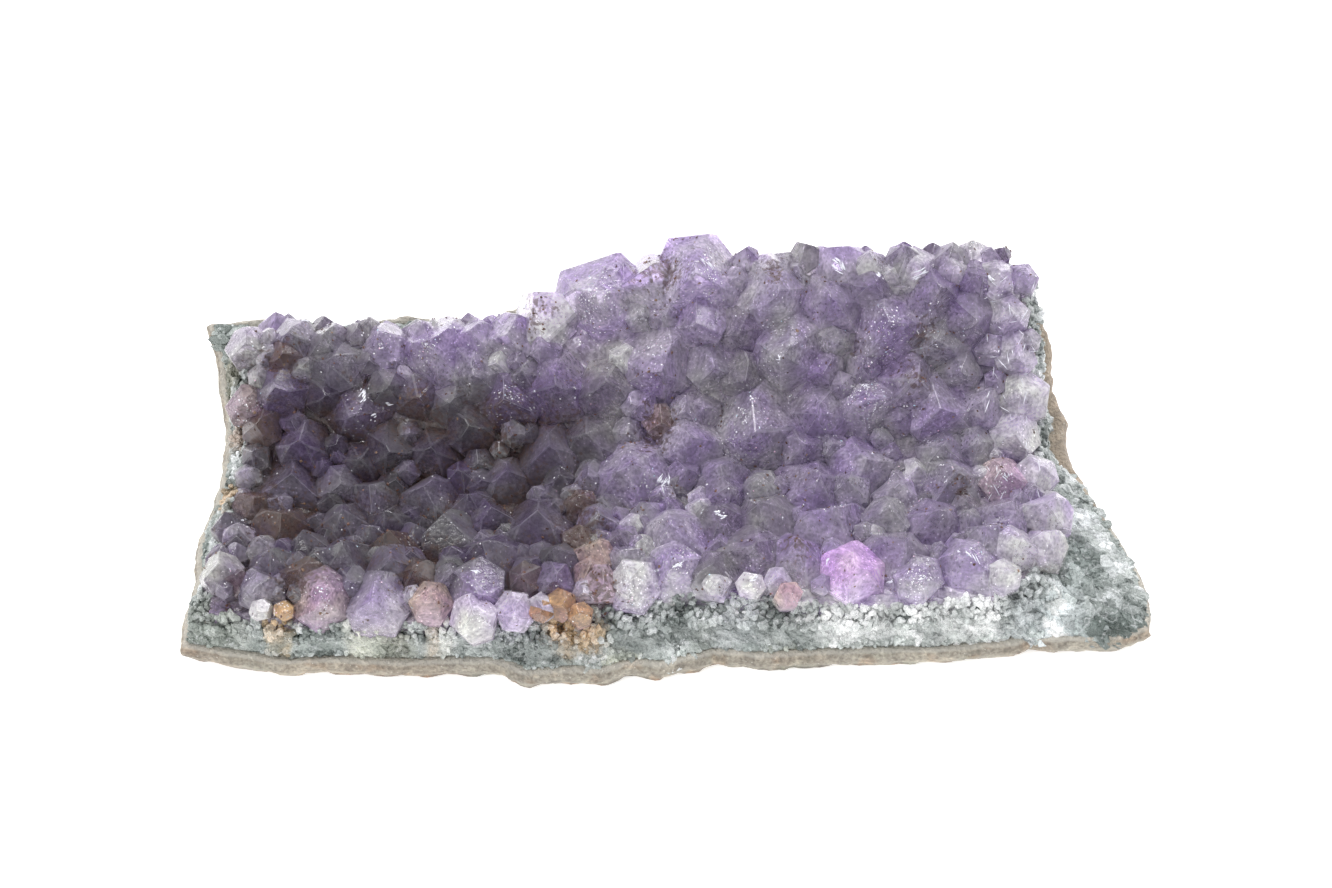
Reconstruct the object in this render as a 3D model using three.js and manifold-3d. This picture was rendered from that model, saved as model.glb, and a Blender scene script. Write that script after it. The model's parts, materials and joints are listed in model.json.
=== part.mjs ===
// A loose piece of amethyst geode wall: a tan agate rind, a layer of granular grey quartz on it, and a
// crust of intergrown amethyst points. Millimetres, +Z up, +X to the right and +Y away from the viewer.
// The piece is drawn on a plan of its own, then moved so that the origin is below the middle of it, on
// the surface that the rind rests on.
import * as THREE from "three";
import { ConvexGeometry } from "three/addons/geometries/ConvexGeometry.js";
import { mergeVertices } from "three/addons/utils/BufferGeometryUtils.js";
import Module from "manifold-3d";

// Driving dimensions, in millimetres and degrees.
const RIND_THICKNESS = 2.5;
const RIND_CHAMFER = 0.7; // how far the rind's top edge stays inside its widest line
const WIDEST_AT = 0.45; // height of the widest line, as a share of the thickness
const BACK_RISE = [7, 12]; // how far the rind curves up to its back edge, left and right
const BACK_EDGE_Y = [16.5, 21.5];
const EDGE_LIFT = 0.9;
const FOOT = { x: 38, front: -21, back: 6 }; // the worn flat patch that the piece rests on
const FOOT_RELIEF = 0.6; // the least height of the underside around that patch
const QUARTZ_EDGE = 0.9; // thickness of the granular quartz at its outer edge
const QUARTZ_LEAST = 1.1; // and under the crystals, where it is thinnest
const QUARTZ_INSET = 1.3;
const QUARTZ_ROUGHNESS = 0.9;
const LAYER_GAP = 0.3;
const CUT_CLEARANCE = 0.05;
const BED_DEPTH = 4.9; // from the middle of the crystals' heads to the quartz, square to the crust
const BED_TOP = 2.5; // from the middle of the heads to where neighbours have grown together
const ROOT_DEPTH = 3.7;
const RIM_ROOT_DEPTH = 1.9;
const LEAN_SPREAD = 8;
const RHOMB_ANGLE = 51.8; // between a quartz tip face and the plane across the crystal
const GROWN_IN = 1.32; // how far neighbours reach into each other, as a share of their width
const TIP_RISE = 0.32; // tip above the head's middle, as a share of the width
const PLAIN_TIP_WIDTH = 7; // narrower points have three tip faces, wider ones six

// Heights of the middle of the heads: the trough's floor, its front lip and its crest, left and right.
const FLOOR_HEIGHT = [7.5, 10.5];
const CREST_HEIGHT = [16.4, 23.4];
const CREST_Y = [11, 16];
const LIP_HEIGHT = 11;
const CREST_FALL = 0.8; // how steeply the heads drop behind the crest

// The layers' rings: shares of the way from the centre to the crust's edge, then on to the outer edge.
const INNER_RINGS = [0.4, 0.74, 1];
const RIM_RINGS = [0.36, 0.7, 1];
const UNDER_RINGS = [0.38, 0.72, 1];
const OUTER_RINGS = [0.45, 0.85]; // of the underside, from the foot's edge out to where it rounds up
const BED_TAPER = 0.985;
const CENTRE = new THREE.Vector3(-1, -3, 0);
const UPRIGHT = new THREE.Vector3(0, 0, 1);

// Plan outline of the rind, counter-clockwise from the front left corner: x, y and the width of the bare
// quartz rim inside it.
const FRONT_EDGE = [
  [-53.4, -25.2, 3], [-47, -26.5, 2.8], [-42, -27.5, 3.2], [-36, -27.1, 2.6], [-29, -27.8, 3],
  [-21.5, -27.4, 3], [-18, -27.8, 3.6], [-15, -29, 4.4], [-11.5, -28.6, 4.4], [-7, -28.9, 5.2],
  [-4.8, -27.8, 4.6], [-0.7, -28, 5.4], [5.4, -26.3, 4.6], [10.3, -26.8, 5], [14.7, -26.3, 4.6],
  [21.3, -26, 3.8], [30, -25.7, 4.2], [39, -24.7, 5.2], [40.6, -23.6, 5], [43, -24.4, 7], [50, -24, 11.2],
];
const RIGHT_EDGE = [
  [53.4, -22.8, 13], [53.8, -18.8, 12], [53, -14.4, 10], [50.4, -7.5, 7.4], [48.4, -3, 5.8], [46.2, 3.6, 4],
  [47, 7.6, 5], [45.2, 11.8, 3.6], [45, 15.5, 4], [42.8, 19.6, 4],
];
const BACK_EDGE = [
  [37, 20.8, 3], [29, 21.8, 3.6], [21, 21.2, 3.2], [13, 22, 4.6], [5, 21.6, 3], [-3, 21.8, 4], [-10, 20, 3.6],
  [-16, 18.2, 3.6], [-23, 16.6, 3.4], [-31, 17.2, 4], [-39, 16.2, 3], [-47, 17, 4],
];
const LEFT_EDGE = [
  [-53.6, 16.6, 5.4], [-52.4, 13.6, 4], [-51.4, 8, 2.8], [-50.9, 1.4, 2.4], [-51.7, -5.6, 2.6],
  [-52.9, -9.8, 3.4], [-52.8, -15.4, 2.8], [-53.5, -21.4, 3.4],
];

// Crystals, placed by hand on the plan: x and y of the head's middle, its width, then how far its axis
// leans to the right and away from the viewer beyond the crust's own slope, and its turn, in degrees.
const CREST = [
  [-47.4, 8.2, 4, 0, 0, 10], [-42.5, 9.2, 4.2, 0, 5, 0], [-38.3, 8.9, 4.4, 0, 0, 20],
  [-32.4, 9, 5.6, 0, -12, 0], [-26.6, 8, 7.4, 0, -14, 15], [-22, 9.4, 4.2, 0, 0, 30],
  [-18, 8.8, 5, 0, -8, 0], [-14.8, 12.4, 6.8, 0, -4, 15], [-7.8, 11, 9, -4, -10, 20],
  [-2, 12.8, 7.2, 0, -6, 0], [3.8, 12.6, 8.4, 6, -2, 10], [11.8, 10.4, 7.8, 0, -4, 25],
  [18.2, 10, 7.6, 0, 8, 0], [19.4, 15.4, 5.2, 0, 10, 0], [23.4, 12.8, 5, 5, 5, 15],
  [27.6, 15.4, 5, 0, 10, 0], [33.4, 16.2, 5, 0, 12, 20], [37, 13, 5.2, 16, 0, 10],
];
const LEFT_BANK = [
  [-43.9, 7.3, 4.2, 0, 0, 25], [-38, 6.4, 6.2, 0, -4, 10], [-43.8, 3.8, 5.8, 0, 0, 5],
  [-47.3, 2.3, 4.2, -14, 0, 0], [-44, 0.4, 4.8, -4, 4, 0], [-35, 1.5, 6.2, 0, 0, 30],
  [-39.6, 2.6, 4.6, 0, 0, 0], [-31.4, 3.2, 5.2, 0, 0, 12], [-26.4, 2.8, 5.2, 0, 0, 0],
  [-21.8, 4.6, 5.8, 0, -8, 0], [-17.4, 2.5, 6, 0, -6, 12], [-12.3, 3.8, 8, 0, -6, 0],
  [-6.4, 3.2, 6.4, 0, 0, 18], [-22, 0.2, 5, 0, 0, 8], [-8, -1.2, 5.8, 0, 0, 20],
];
const LEFT_BOWL = [
  [-42.4, -4.6, 6.8, 0, 4, 10], [-46.8, -3.4, 4, -12, 0, 0], [-36.8, -5.2, 4.8, 0, 0, 0],
  [-33.2, -5.6, 5.4, 0, 4, 26], [-38, -1.4, 4.8, 0, 0, 0], [-31.6, -1.4, 5, 0, 0, 14],
  [-46.8, -8.4, 4.4, -10, 0, 0], [-42.4, -10.4, 5.6, 0, 0, 18], [-47, -12.8, 4.2, -14, 0, 0],
  [-44.6, -15.6, 4.4, -6, 0, 8], [-37, -10.2, 5.6, 0, 0, 0], [-40, -15, 4.8, 0, 0, 24],
  [-35, -17.2, 6.2, 0, 6, 12], [-31.4, -11.4, 5.2, 0, 0, 0], [-30, -18, 5.4, 0, 4, 28],
  [-26.6, -6.6, 5.8, 0, 0, 6], [-25, -2.2, 5, 0, 0, 0], [-21.4, -7.2, 4.6, 0, 0, 0],
  [-24, -12.4, 6.8, 0, 6, 16], [-18.4, -3.6, 5.6, 0, 0, 0], [-13, -2.6, 6, 0, 0, 24],
  [-14.6, -11.6, 7.8, 0, 6, 6], [-19.7, -17.4, 6.8, 0, 6, 0],
];
const FRONT_ROW = [
  [-48.6, -20.2, 4.6, -12, 0, 6], [-44.4, -22.8, 5, -4, 6, 20], [-44, -19, 4.4, 0, 0, 0],
  [-39.8, -20.4, 5, 0, 0, 10], [-37.6, -24.2, 6.2, 0, 8, 4], [-31.4, -23.6, 6.8, 0, 6, 16],
  [-25.6, -22.4, 5.6, 0, 6, 24], [-20.3, -23.4, 6.2, 0, 6, 12], [-15.2, -23.8, 5, 0, 4, 0],
  [-12.4, -18, 5, 0, 0, 20], [-10.8, -22.6, 5, 0, 6, 0], [-7.4, -17.4, 4.4, 0, 10, 14],
  [-5.2, -22.4, 5.4, 0, 4, 26], [0.8, -20.2, 6, 0, 4, 8], [8.2, -18.4, 7, 0, 6, 18],
  [14.5, -17.6, 6.8, 0, 6, 0], [20.6, -20.4, 6.8, 0, 8, 4], [25.4, -17, 6.4, 0, 6, 22],
  [28, -20.8, 5, 0, 4, 0], [33.4, -18.8, 7, 0, 6, 12], [38.6, -17.6, 5.4, 8, 0, 6],
];
const RIGHT_BANK = [
  [-4.1, -5.4, 8.8, 0, 4, 0], [-8.8, -10.6, 5, 0, 0, 12], [-4.6, -13.4, 5.4, 0, 0, 0],
  [-0.5, 4.8, 7.8, 0, -6, 8], [6.4, 7.4, 6.2, 0, -4, 0], [14.6, 4.6, 7.8, 0, 0, 26], [8.6, 4, 5, 0, 0, 5],
  [3.6, 2.4, 5, 0, 0, 20],
  [2.6, -1.8, 6, -4, 4, 16], [9.6, -1, 11, 0, 2, 4], [20.6, 1.2, 8.2, 0, 2, 18], [16, -2.8, 5, 0, 0, 8],
  [1, -14.4, 6.8, 0, 4, 10], [3.4, -8.6, 6, 0, 0, 24], [6.6, -12.8, 5.6, 0, 0, 12], [6.4, -5.6, 5, 0, 0, 0],
   [10.6, -8.4, 5.2, 0, 0, 0], [11.2, -12.6, 5.6, 0, 0, 28], [16, -7.4, 7.4, 0, 2, 6],
  [18.8, -12.4, 7, 0, 4, 20], [25, 7.4, 7.8, 0, 0, 0], [30.6, 10, 7, 0, 0, 14], [35.4, 8.2, 6.6, 4, 0, 24],
  [28.4, 3.6, 7, 0, 0, 8], [33.2, 4, 5.4, 0, 0, 18], [30.4, -0.8, 6.4, 0, 0, 0],
  [36, 0.8, 5.8, 4, 0, 12], [40.2, 1.4, 5, 18, 0, 20], [39.6, 6, 5, 14, 0, 0], [24, -4.6, 6.6, 0, 0, 16],
  [24.6, -10.8, 6, 0, 0, 6], [31.4, -6.8, 7, 0, 2, 22], [36.8, -4.6, 5.4, 6, 0, 0],
  [30, -12.6, 6.8, 0, 4, 0], [37, -10.6, 5.6, 6, 0, 14], [41.6, -6, 5, 14, 0, 0], [42, -12, 5, 14, 0, 8],
  [35.8, -14.4, 4.8, 0, 0, 20],
];

// Stubby points of colourless quartz on the wide right rim: x, y and z of the head's middle, its width and
// its lean to the right and away from the viewer.
const RIM_POINTS = [
  [46.6, -13.6, 6.2, 4.4, 14, 0], [44.6, -19.8, 6.6, 4.8, 10, -8], [49.4, -17.6, 5.6, 4.2, 18, 6],
  [47.2, -8.4, 6.4, 3.6, 16, 0], [46, -2.4, 6.4, 3.2, 20, 0], [49.2, -22, 5.2, 3.4, 12, -14],
  [44, -24, 5.6, 3, 0, -16], [44.8, 6.6, 7.6, 3, 20, 0],
];

const { degToRad, lerp, smoothstep } = THREE.MathUtils;
const wasm = await Module();
wasm.setup();

// A repeatable source of numbers from 0 to 1.
function seeded(seed) {
  let state = seed;
  return () => {
    state = (Math.imul(state, 1664525) + 1013904223) >>> 0;
    return state / 4294967296;
  };
}

// 0 over the low bowl on the left, 1 over the high bank on the right.
const bank = (x) => smoothstep(x, -25, 5);

const offFoot = (x, y) => Math.max(Math.abs(x) - FOOT.x, FOOT.front - y, y - FOOT.back, 0);

// The rind's sweep: flat on the foot, then rising to the back and a little to the other edges.
function sweep(x, y) {
  const reach = lerp(...BACK_EDGE_Y, bank(x)) - FOOT.back;
  const rise = lerp(...BACK_RISE, bank(x)) * (Math.max(0, y - FOOT.back) / reach) ** 2;
  return rise + EDGE_LIFT * smoothstep(offFoot(x, y), 0, 6);
}

// The lumpy underside, clear of the surface all round the foot.
function underside(x, y) {
  const lumps = 0.5 * Math.sin(0.53 * x + 1) * Math.cos(0.4 * y) + 0.3 * Math.sin(1.3 * x + 0.9 * y);
  return Math.max(sweep(x, y) + lumps * smoothstep(offFoot(x, y), 0, 6), FOOT_RELIEF);
}

const rindTop = (x, y) => sweep(x, y) + RIND_THICKNESS;

function headHeight(x, y) {
  const right = bank(x);
  const floor = lerp(...FLOOR_HEIGHT, right);
  const crestY = lerp(...CREST_Y, right);
  const back = smoothstep(y, -6, crestY);
  const front = smoothstep(-y, 8, 21);
  const wall = floor + (lerp(...CREST_HEIGHT, right) - floor) * back + (LIP_HEIGHT - floor) * front;
  return wall - CREST_FALL * Math.max(0, y - crestY);
}

function crustNormal(x, y) {
  const step = 3;
  const dx = (headHeight(x + step, y) - headHeight(x - step, y)) / (2 * step);
  const dy = (headHeight(x, y + step) - headHeight(x, y - step)) / (2 * step);
  return new THREE.Vector3(-dx, -dy, 1).normalize();
}

// A height below the heads by a distance square to the crust, and never inside the rind.
const belowHeads = (x, y, depth) => headHeight(x, y) - depth / crustNormal(x, y).z;
const quartzTop = (x, y) => Math.max(belowHeads(x, y, BED_DEPTH), rindTop(x, y) + LAYER_GAP + QUARTZ_LEAST);
const bedTop = (x, y) => Math.max(belowHeads(x, y, BED_TOP), quartzTop(x, y) + BED_DEPTH - BED_TOP);

const edge = [...FRONT_EDGE, ...RIGHT_EDGE, ...BACK_EDGE, ...LEFT_EDGE];
// A plan point moved toward the centre, or away from it by a negative distance, at height 0.
const towardCentre = (p, distance) => {
  const step = new THREE.Vector3(CENTRE.x - p.x, CENTRE.y - p.y, 0).normalize();
  return p.clone().addScaledVector(step, distance);
};
const rindEdge = edge.map(([x, y]) => new THREE.Vector3(x, y, 0));
const quartzEdge = rindEdge.map((p) => towardCentre(p, QUARTZ_INSET));
const crustEdge = rindEdge.map((p, i) => towardCentre(p, edge[i][2]));

// Loops at shares of the way from the centre to an outline, each point at the height there.
const innerLoops = (outline, shares, height) =>
  shares.map((share) =>
    outline.map((p) => {
      const point = CENTRE.clone().lerp(p, share);
      return point.setZ(height(point.x, point.y));
    }),
  );

// Triangles that face up, from a height at the centre out over loops of points.
function cap(loops, height) {
  const centre = CENTRE.clone().setZ(height(CENTRE.x, CENTRE.y));
  const inner = [edge.map(() => centre), ...loops.slice(0, -1)];
  return loops.flatMap((loop, k) =>
    loop.flatMap((outer, i) => {
      const next = (i + 1) % edge.length;
      const outside = [inner[k][i], outer, loop[next]];
      return k ? [outside, [inner[k][i], loop[next], inner[k][next]]] : [outside];
    }),
  );
}

// A closed body between two sets of loops, each from the middle out to the edge.
function loopBody(under, bottom, over, top) {
  const low = under.at(-1);
  const high = over.at(-1);
  const side = low.flatMap((corner, i) => {
    const next = (i + 1) % edge.length;
    return [[corner, low[next], high[next]], [corner, high[next], high[i]]];
  });
  const flipped = cap(under, bottom).map((triangle) => triangle.reverse());
  const corners = [...flipped, ...side, ...cap(over, top)].flat();
  return new THREE.BufferGeometry().setFromPoints(corners);
}

// The foot's straight edges as a loop of one point for each outline point, its four corners included.
function footLoop() {
  const loop = rindEdge.map((p) => {
    const out = p.clone().sub(CENTRE);
    const toSide = Math.abs(Math.sign(out.x) * FOOT.x - CENTRE.x) / Math.abs(out.x);
    const toEnd = Math.abs((out.y > 0 ? FOOT.back : FOOT.front) - CENTRE.y) / Math.abs(out.y);
    return CENTRE.clone().addScaledVector(out, Math.min(toSide, toEnd));
  });
  for (const x of [-FOOT.x, FOOT.x]) {
    for (const y of [FOOT.front, FOOT.back]) {
      const corner = new THREE.Vector3(x, y, 0);
      const distances = loop.map((p) => p.distanceTo(corner));
      loop[distances.indexOf(Math.min(...distances))] = corner;
    }
  }
  return loop;
}

function rindGeometry() {
  const widest = rindEdge.map((p) => p.clone().setZ(underside(p.x, p.y) + RIND_THICKNESS * WIDEST_AT));
  const rim = rindEdge.map((p) => towardCentre(p, RIND_CHAMFER)).map((p) => p.setZ(rindTop(p.x, p.y)));
  const foot = footLoop();
  const outer = OUTER_RINGS.map((share) =>
    foot.map((p, i) => {
      const point = p.clone().lerp(rindEdge[i], share);
      return point.setZ(underside(point.x, point.y));
    }),
  );
  const over = [...innerLoops(quartzEdge, UNDER_RINGS, rindTop), rim];
  return loopBody([foot, ...outer, widest], () => 0, over, rindTop);
}

// The quartz's top: level with the crust's bed on the inner rings, then down in steps to its broken edge.
function quartzLoops(random) {
  const rim = RIM_RINGS.map((share) =>
    crustEdge.map((inside, i) => {
      const point = inside.clone().lerp(quartzEdge[i], share);
      const least = rindTop(point.x, point.y) + LAYER_GAP + QUARTZ_EDGE;
      const slope = lerp(quartzTop(inside.x, inside.y), least, share ** 0.8);
      const rough = share < 1 ? QUARTZ_ROUGHNESS * (random() - 0.5) : 0;
      return point.setZ(Math.max(slope + rough, least));
    }),
  );
  return [...innerLoops(crustEdge, INNER_RINGS, quartzTop), ...rim];
}

// All that lies below a set of loops raised by a distance, out past their edge, to cut roots away.
function groundBelow(loops, height, raise) {
  const raised = loops.map((loop) => loop.map((p) => p.clone().setZ(p.z + raise)));
  const beyond = raised.at(-1).map((p) => towardCentre(p, -ROOT_DEPTH).setZ(p.z));
  const deep = beyond.map((p) => p.clone().setZ(-ROOT_DEPTH));
  return toSolid(loopBody([deep], () => -ROOT_DEPTH, [...raised, beyond], (x, y) => height(x, y) + raise));
}

// The granular quartz with the points of its right rim, whose roots stay clear of the rind.
function quartzGeometry(over) {
  const bottom = (x, y) => rindTop(x, y) + LAYER_GAP;
  const under = innerLoops(quartzEdge, UNDER_RINGS, bottom);
  const ground = groundBelow(under, bottom, LAYER_GAP);
  const points = rimPoints(0).map((point) => point.subtract(ground));
  return toGeometry(joined(toSolid(loopBody(under, bottom, over, quartzTop)), points));
}

function bedGeometry() {
  const bottom = (x, y) => quartzTop(x, y) + LAYER_GAP + CUT_CLEARANCE;
  const topRings = INNER_RINGS.map((share) => share * BED_TAPER);
  const over = innerLoops(crustEdge, topRings, bedTop);
  return loopBody(innerLoops(crustEdge, INNER_RINGS, bottom), bottom, over, bedTop);
}

// The point where three planes meet, or null where two of them are parallel.
function meeting([a, da], [b, db], [c, dc]) {
  const acrossBC = b.clone().cross(c);
  const det = a.dot(acrossBC);
  if (Math.abs(det) < 1e-9) return null;
  const point = acrossBC.multiplyScalar(da).addScaledVector(c.clone().cross(a), db);
  return point.addScaledVector(a.clone().cross(b), dc).divideScalar(det);
}

// A six-sided quartz point along +Z with its head's middle at the origin, as the hull of its corners.
function pointGeometry(width, root, turn, random) {
  const radius = (GROWN_IN * width) / 2;
  const slant = degToRad(RHOMB_ANGLE);
  const narrow = width < PLAIN_TIP_WIDTH ? Infinity : radius * (0.12 + 0.26 * random());
  const planes = [[new THREE.Vector3(0, 0, -1), root]];
  for (let k = 0; k < 6; k++) {
    const angle = degToRad(turn + 60 * k);
    const side = new THREE.Vector3(Math.cos(angle), Math.sin(angle), 0);
    const tip = side.clone().multiplyScalar(Math.sin(slant)).setZ(Math.cos(slant));
    const shift = k % 2 ? narrow : 0.12 * radius * (random() - 0.5);
    planes.push([side, radius * (0.92 + 0.16 * random())]);
    if (shift < Infinity) planes.push([tip, TIP_RISE * width * Math.cos(slant) + shift]);
  }
  const corners = [];
  for (let i = 0; i < planes.length; i++)
    for (let j = i + 1; j < planes.length; j++)
      for (let k = j + 1; k < planes.length; k++) {
        const corner = meeting(planes[i], planes[j], planes[k]);
        if (corner && planes.every(([n, d]) => n.dot(corner) < d + 1e-6)) corners.push(corner);
      }
  return new ConvexGeometry(corners);
}

// A geometry stood up along an axis that leans a little at random, at a place.
function stood(geometry, axis, leanX, leanY, place, random) {
  const across = degToRad(leanX + LEAN_SPREAD * (random() - 0.5));
  const away = degToRad(leanY + LEAN_SPREAD * (random() - 0.5));
  const leaning = axis.clone().applyAxisAngle(new THREE.Vector3(0, 1, 0), across);
  leaning.applyAxisAngle(new THREE.Vector3(1, 0, 0), -away);
  const turned = new THREE.Quaternion().setFromUnitVectors(UPRIGHT, leaning);
  return geometry.applyQuaternion(turned).translate(...place);
}

function crustPoint([x, y, width, leanX, leanY, turn], random) {
  const point = pointGeometry(width, ROOT_DEPTH, turn, random);
  return toSolid(stood(point, crustNormal(x, y), leanX, leanY, [x, y, headHeight(x, y)], random));
}

function rimPoints(clearance) {
  const random = seeded(3);
  return RIM_POINTS.map(([x, y, z, width, leanX, leanY]) => {
    const point = pointGeometry(width + 2 * clearance, RIM_ROOT_DEPTH, 60 * random(), random);
    return toSolid(stood(point, UPRIGHT, leanX, leanY, [x, y, z], random));
  });
}

function toSolid(geometry) {
  for (const name of ["normal", "uv"]) geometry.deleteAttribute(name);
  const merged = mergeVertices(geometry, 1e-4);
  const vertProperties = merged.attributes.position.array;
  const triVerts = new Uint32Array(merged.index.array);
  return new wasm.Manifold(new wasm.Mesh({ numProp: 3, vertProperties, triVerts }));
}

function toGeometry(solid) {
  const { vertProperties, triVerts } = solid.getMesh();
  return new THREE.BufferGeometry()
    .setAttribute("position", new THREE.BufferAttribute(vertProperties, 3))
    .setIndex(new THREE.BufferAttribute(triVerts, 1));
}

const joined = (first, others) => others.reduce((whole, other) => whole.add(other), first);
const cut = (first, others) => others.reduce((whole, other) => whole.subtract(other), first);

// One body of all the crystals and their bed. Only its outer shell is kept, so that no gap is sealed in.
function crustGeometry(surface) {
  const random = seeded(7);
  const crystals = [...CREST, ...LEFT_BANK, ...LEFT_BOWL, ...FRONT_ROW, ...RIGHT_BANK];
  const points = crystals.map((crystal) => crustPoint(crystal, random));
  const whole = joined(toSolid(bedGeometry()), points);
  const clear = cut(whole, [groundBelow(surface, quartzTop, LAYER_GAP), ...rimPoints(LAYER_GAP)]);
  const shells = clear.decompose().sort((a, b) => b.volume() - a.volume());
  return toGeometry(shells[0]);
}

function piece(name, geometry, color, roughness) {
  const material = new THREE.MeshStandardMaterial({ color, roughness, metalness: 0, flatShading: true });
  const mesh = new THREE.Mesh(geometry, material);
  mesh.name = name;
  return mesh;
}

const quartzSurface = quartzLoops(seeded(5));
const amethyst = new THREE.Group();
amethyst.add(
  piece("agate_rind", rindGeometry(), 0x8b7a62, 0.7),
  piece("granular_quartz", quartzGeometry(quartzSurface), 0x8f958f, 0.8),
  piece("amethyst_crystals", crustGeometry(quartzSurface), 0x7d6c93, 0.15),
);

const middle = new THREE.Box3().setFromObject(amethyst).getCenter(new THREE.Vector3());
amethyst.position.set(-middle.x, -middle.y, 0);

export default amethyst;
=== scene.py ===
"""Looks for a loose piece of amethyst geode wall: agate rind, granular quartz and a crust of points."""

import json
import math

import bpy
import numpy as np
from mathutils import Matrix, Vector, noise
from mathutils.bvhtree import BVHTree

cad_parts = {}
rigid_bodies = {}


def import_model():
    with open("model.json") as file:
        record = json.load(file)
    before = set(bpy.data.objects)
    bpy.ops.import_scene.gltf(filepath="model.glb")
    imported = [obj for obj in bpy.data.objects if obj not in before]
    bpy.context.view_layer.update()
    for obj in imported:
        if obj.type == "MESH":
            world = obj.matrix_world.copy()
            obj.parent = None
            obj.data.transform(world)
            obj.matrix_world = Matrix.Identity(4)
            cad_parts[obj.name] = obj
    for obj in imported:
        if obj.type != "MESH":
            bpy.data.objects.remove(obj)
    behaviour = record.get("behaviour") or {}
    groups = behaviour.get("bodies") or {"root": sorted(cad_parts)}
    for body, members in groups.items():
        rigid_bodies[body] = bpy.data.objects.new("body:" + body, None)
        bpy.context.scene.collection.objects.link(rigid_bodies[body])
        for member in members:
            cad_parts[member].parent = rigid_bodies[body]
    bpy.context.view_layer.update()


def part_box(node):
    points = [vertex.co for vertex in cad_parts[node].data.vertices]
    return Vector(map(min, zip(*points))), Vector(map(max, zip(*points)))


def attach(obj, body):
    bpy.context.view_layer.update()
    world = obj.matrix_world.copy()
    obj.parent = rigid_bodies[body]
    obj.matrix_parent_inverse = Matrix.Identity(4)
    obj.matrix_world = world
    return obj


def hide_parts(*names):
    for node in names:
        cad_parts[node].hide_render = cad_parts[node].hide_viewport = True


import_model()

MM = 0.001

# The solids' drawing plan, in millimetres: x and y of the rind's corner on it, and its centre.
PLAN_CORNER = np.array([-53.6, -29.0])
CENTRE = np.array([-1.0, -3.0])
rind_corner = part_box("agate_rind")[0]
PLAN_OFFSET = np.array([rind_corner.x / MM - PLAN_CORNER[0], rind_corner.y / MM - PLAN_CORNER[1], 0.0])

# Driving dimensions shared with the solids, in millimetres.
RIND_THICKNESS = 2.5
BACK_RISE = (7.0, 12.0)
BACK_EDGE_Y = (16.5, 21.5)
EDGE_LIFT = 0.9
FOOT = {"x": 38.0, "front": -21.0, "back": 6.0}
FOOT_RELIEF = 0.6
LEAST_SKIN = 1.1  # of the rind under its deepest pits
FLOOR_HEIGHT = (7.5, 10.5)
CREST_HEIGHT = (16.4, 23.4)
CREST_Y = (11.0, 16.0)
LIP_HEIGHT = 11.0
CREST_FALL = 0.8
BED_DEPTH = 4.9
QUARTZ_LEAST = 1.4
RIM_CLEAR = 0.3  # of the layer's edge over the rind
RIM_FALL = 0.85  # how the rim falls from the crystals to its edge: 1 is straight
RIM_INSET = 1.0
RHOMB_ANGLE = math.radians(51.8)

# Looks: sizes in millimetres, and how many points, loops, grains, flakes and specks.
EDGE_POINTS = 520
UNDERSIDE_LOOPS = 44
# The rind's broken edge from top to bottom: how far in from the outline, and the share of its thickness.
RIND_EDGE = [(1.0, 1.0), (0.62, 0.97), (0.32, 0.86), (0.1, 0.7), (0.0, 0.5), (0.12, 0.3), (0.4, 0.14)]
GROWN_IN = (1.26, 1.08)  # of a crystal's drawn width: over the hollow, and at the front edge
TIP_RISE = 0.3
ROOT_DEPTH = 4.3
BED_TOP = 3.0
WORN_EDGE = 0.045
GRAINS = 4600
SHARDS = 2400
FOOT_GRAINS = 3800
WALL_GRAINS = 1500
STEEP_GRAINS = 3600  # tried over the whole layer; only those on its steep sides are kept
STEEP = 0.62  # the most that a steep side's normal points up
BLOCK_SHAPES = 24
GLITTER = 5200
IRON_SPECKS = 4600
QUARTZ_IOR = 1.544
CAVITY = np.array([0.0, -0.64, 0.77])  # the way to the middle of the hollow that the crystals grew into
CAVITY_PULL = (0.3, 0.85)  # over the hollow, and at the front edge
FRONT_ROW = (17.0, 24.0)

# Plan outline of the rind, counter-clockwise from the front left corner: x, y and the width of the bare
# quartz rim inside it.
OUTLINE = [
    (-53.4, -25.2, 3), (-47, -26.5, 2.8), (-42, -27.5, 3.2), (-36, -27.1, 2.6), (-29, -27.8, 3),
    (-21.5, -27.4, 3), (-18, -27.8, 3.6), (-15, -29, 4.4), (-11.5, -28.6, 4.4), (-7, -28.9, 5.2),
    (-4.8, -27.8, 4.6), (-0.7, -28, 5.4), (5.4, -26.3, 4.6), (10.3, -26.8, 5), (14.7, -26.3, 4.6),
    (21.3, -26, 3.8), (30, -25.7, 4.2), (39, -24.7, 5.2), (40.6, -23.6, 5), (43, -24.4, 7),
    (50, -24, 11.2), (53.4, -22.8, 13), (53.8, -18.8, 12), (53, -14.4, 10), (50.4, -7.5, 7.4),
    (48.4, -3, 5.8), (46.2, 3.6, 4), (47, 7.6, 5), (45.2, 11.8, 3.6), (45, 15.5, 4), (42.8, 19.6, 4),
    (37, 20.8, 3), (29, 21.8, 3.6), (21, 21.2, 3.2), (13, 22, 4.6), (5, 21.6, 3), (-3, 21.8, 4),
    (-10, 20, 3.6), (-16, 18.2, 3.6), (-23, 16.6, 3.4), (-31, 17.2, 4), (-39, 16.2, 3), (-47, 17, 4),
    (-53.6, 16.6, 5.4), (-52.4, 13.6, 4), (-51.4, 8, 2.8), (-50.9, 1.4, 2.4), (-51.7, -5.6, 2.6),
    (-52.9, -9.8, 3.4), (-52.8, -15.4, 2.8), (-53.5, -21.4, 3.4),
]

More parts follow.
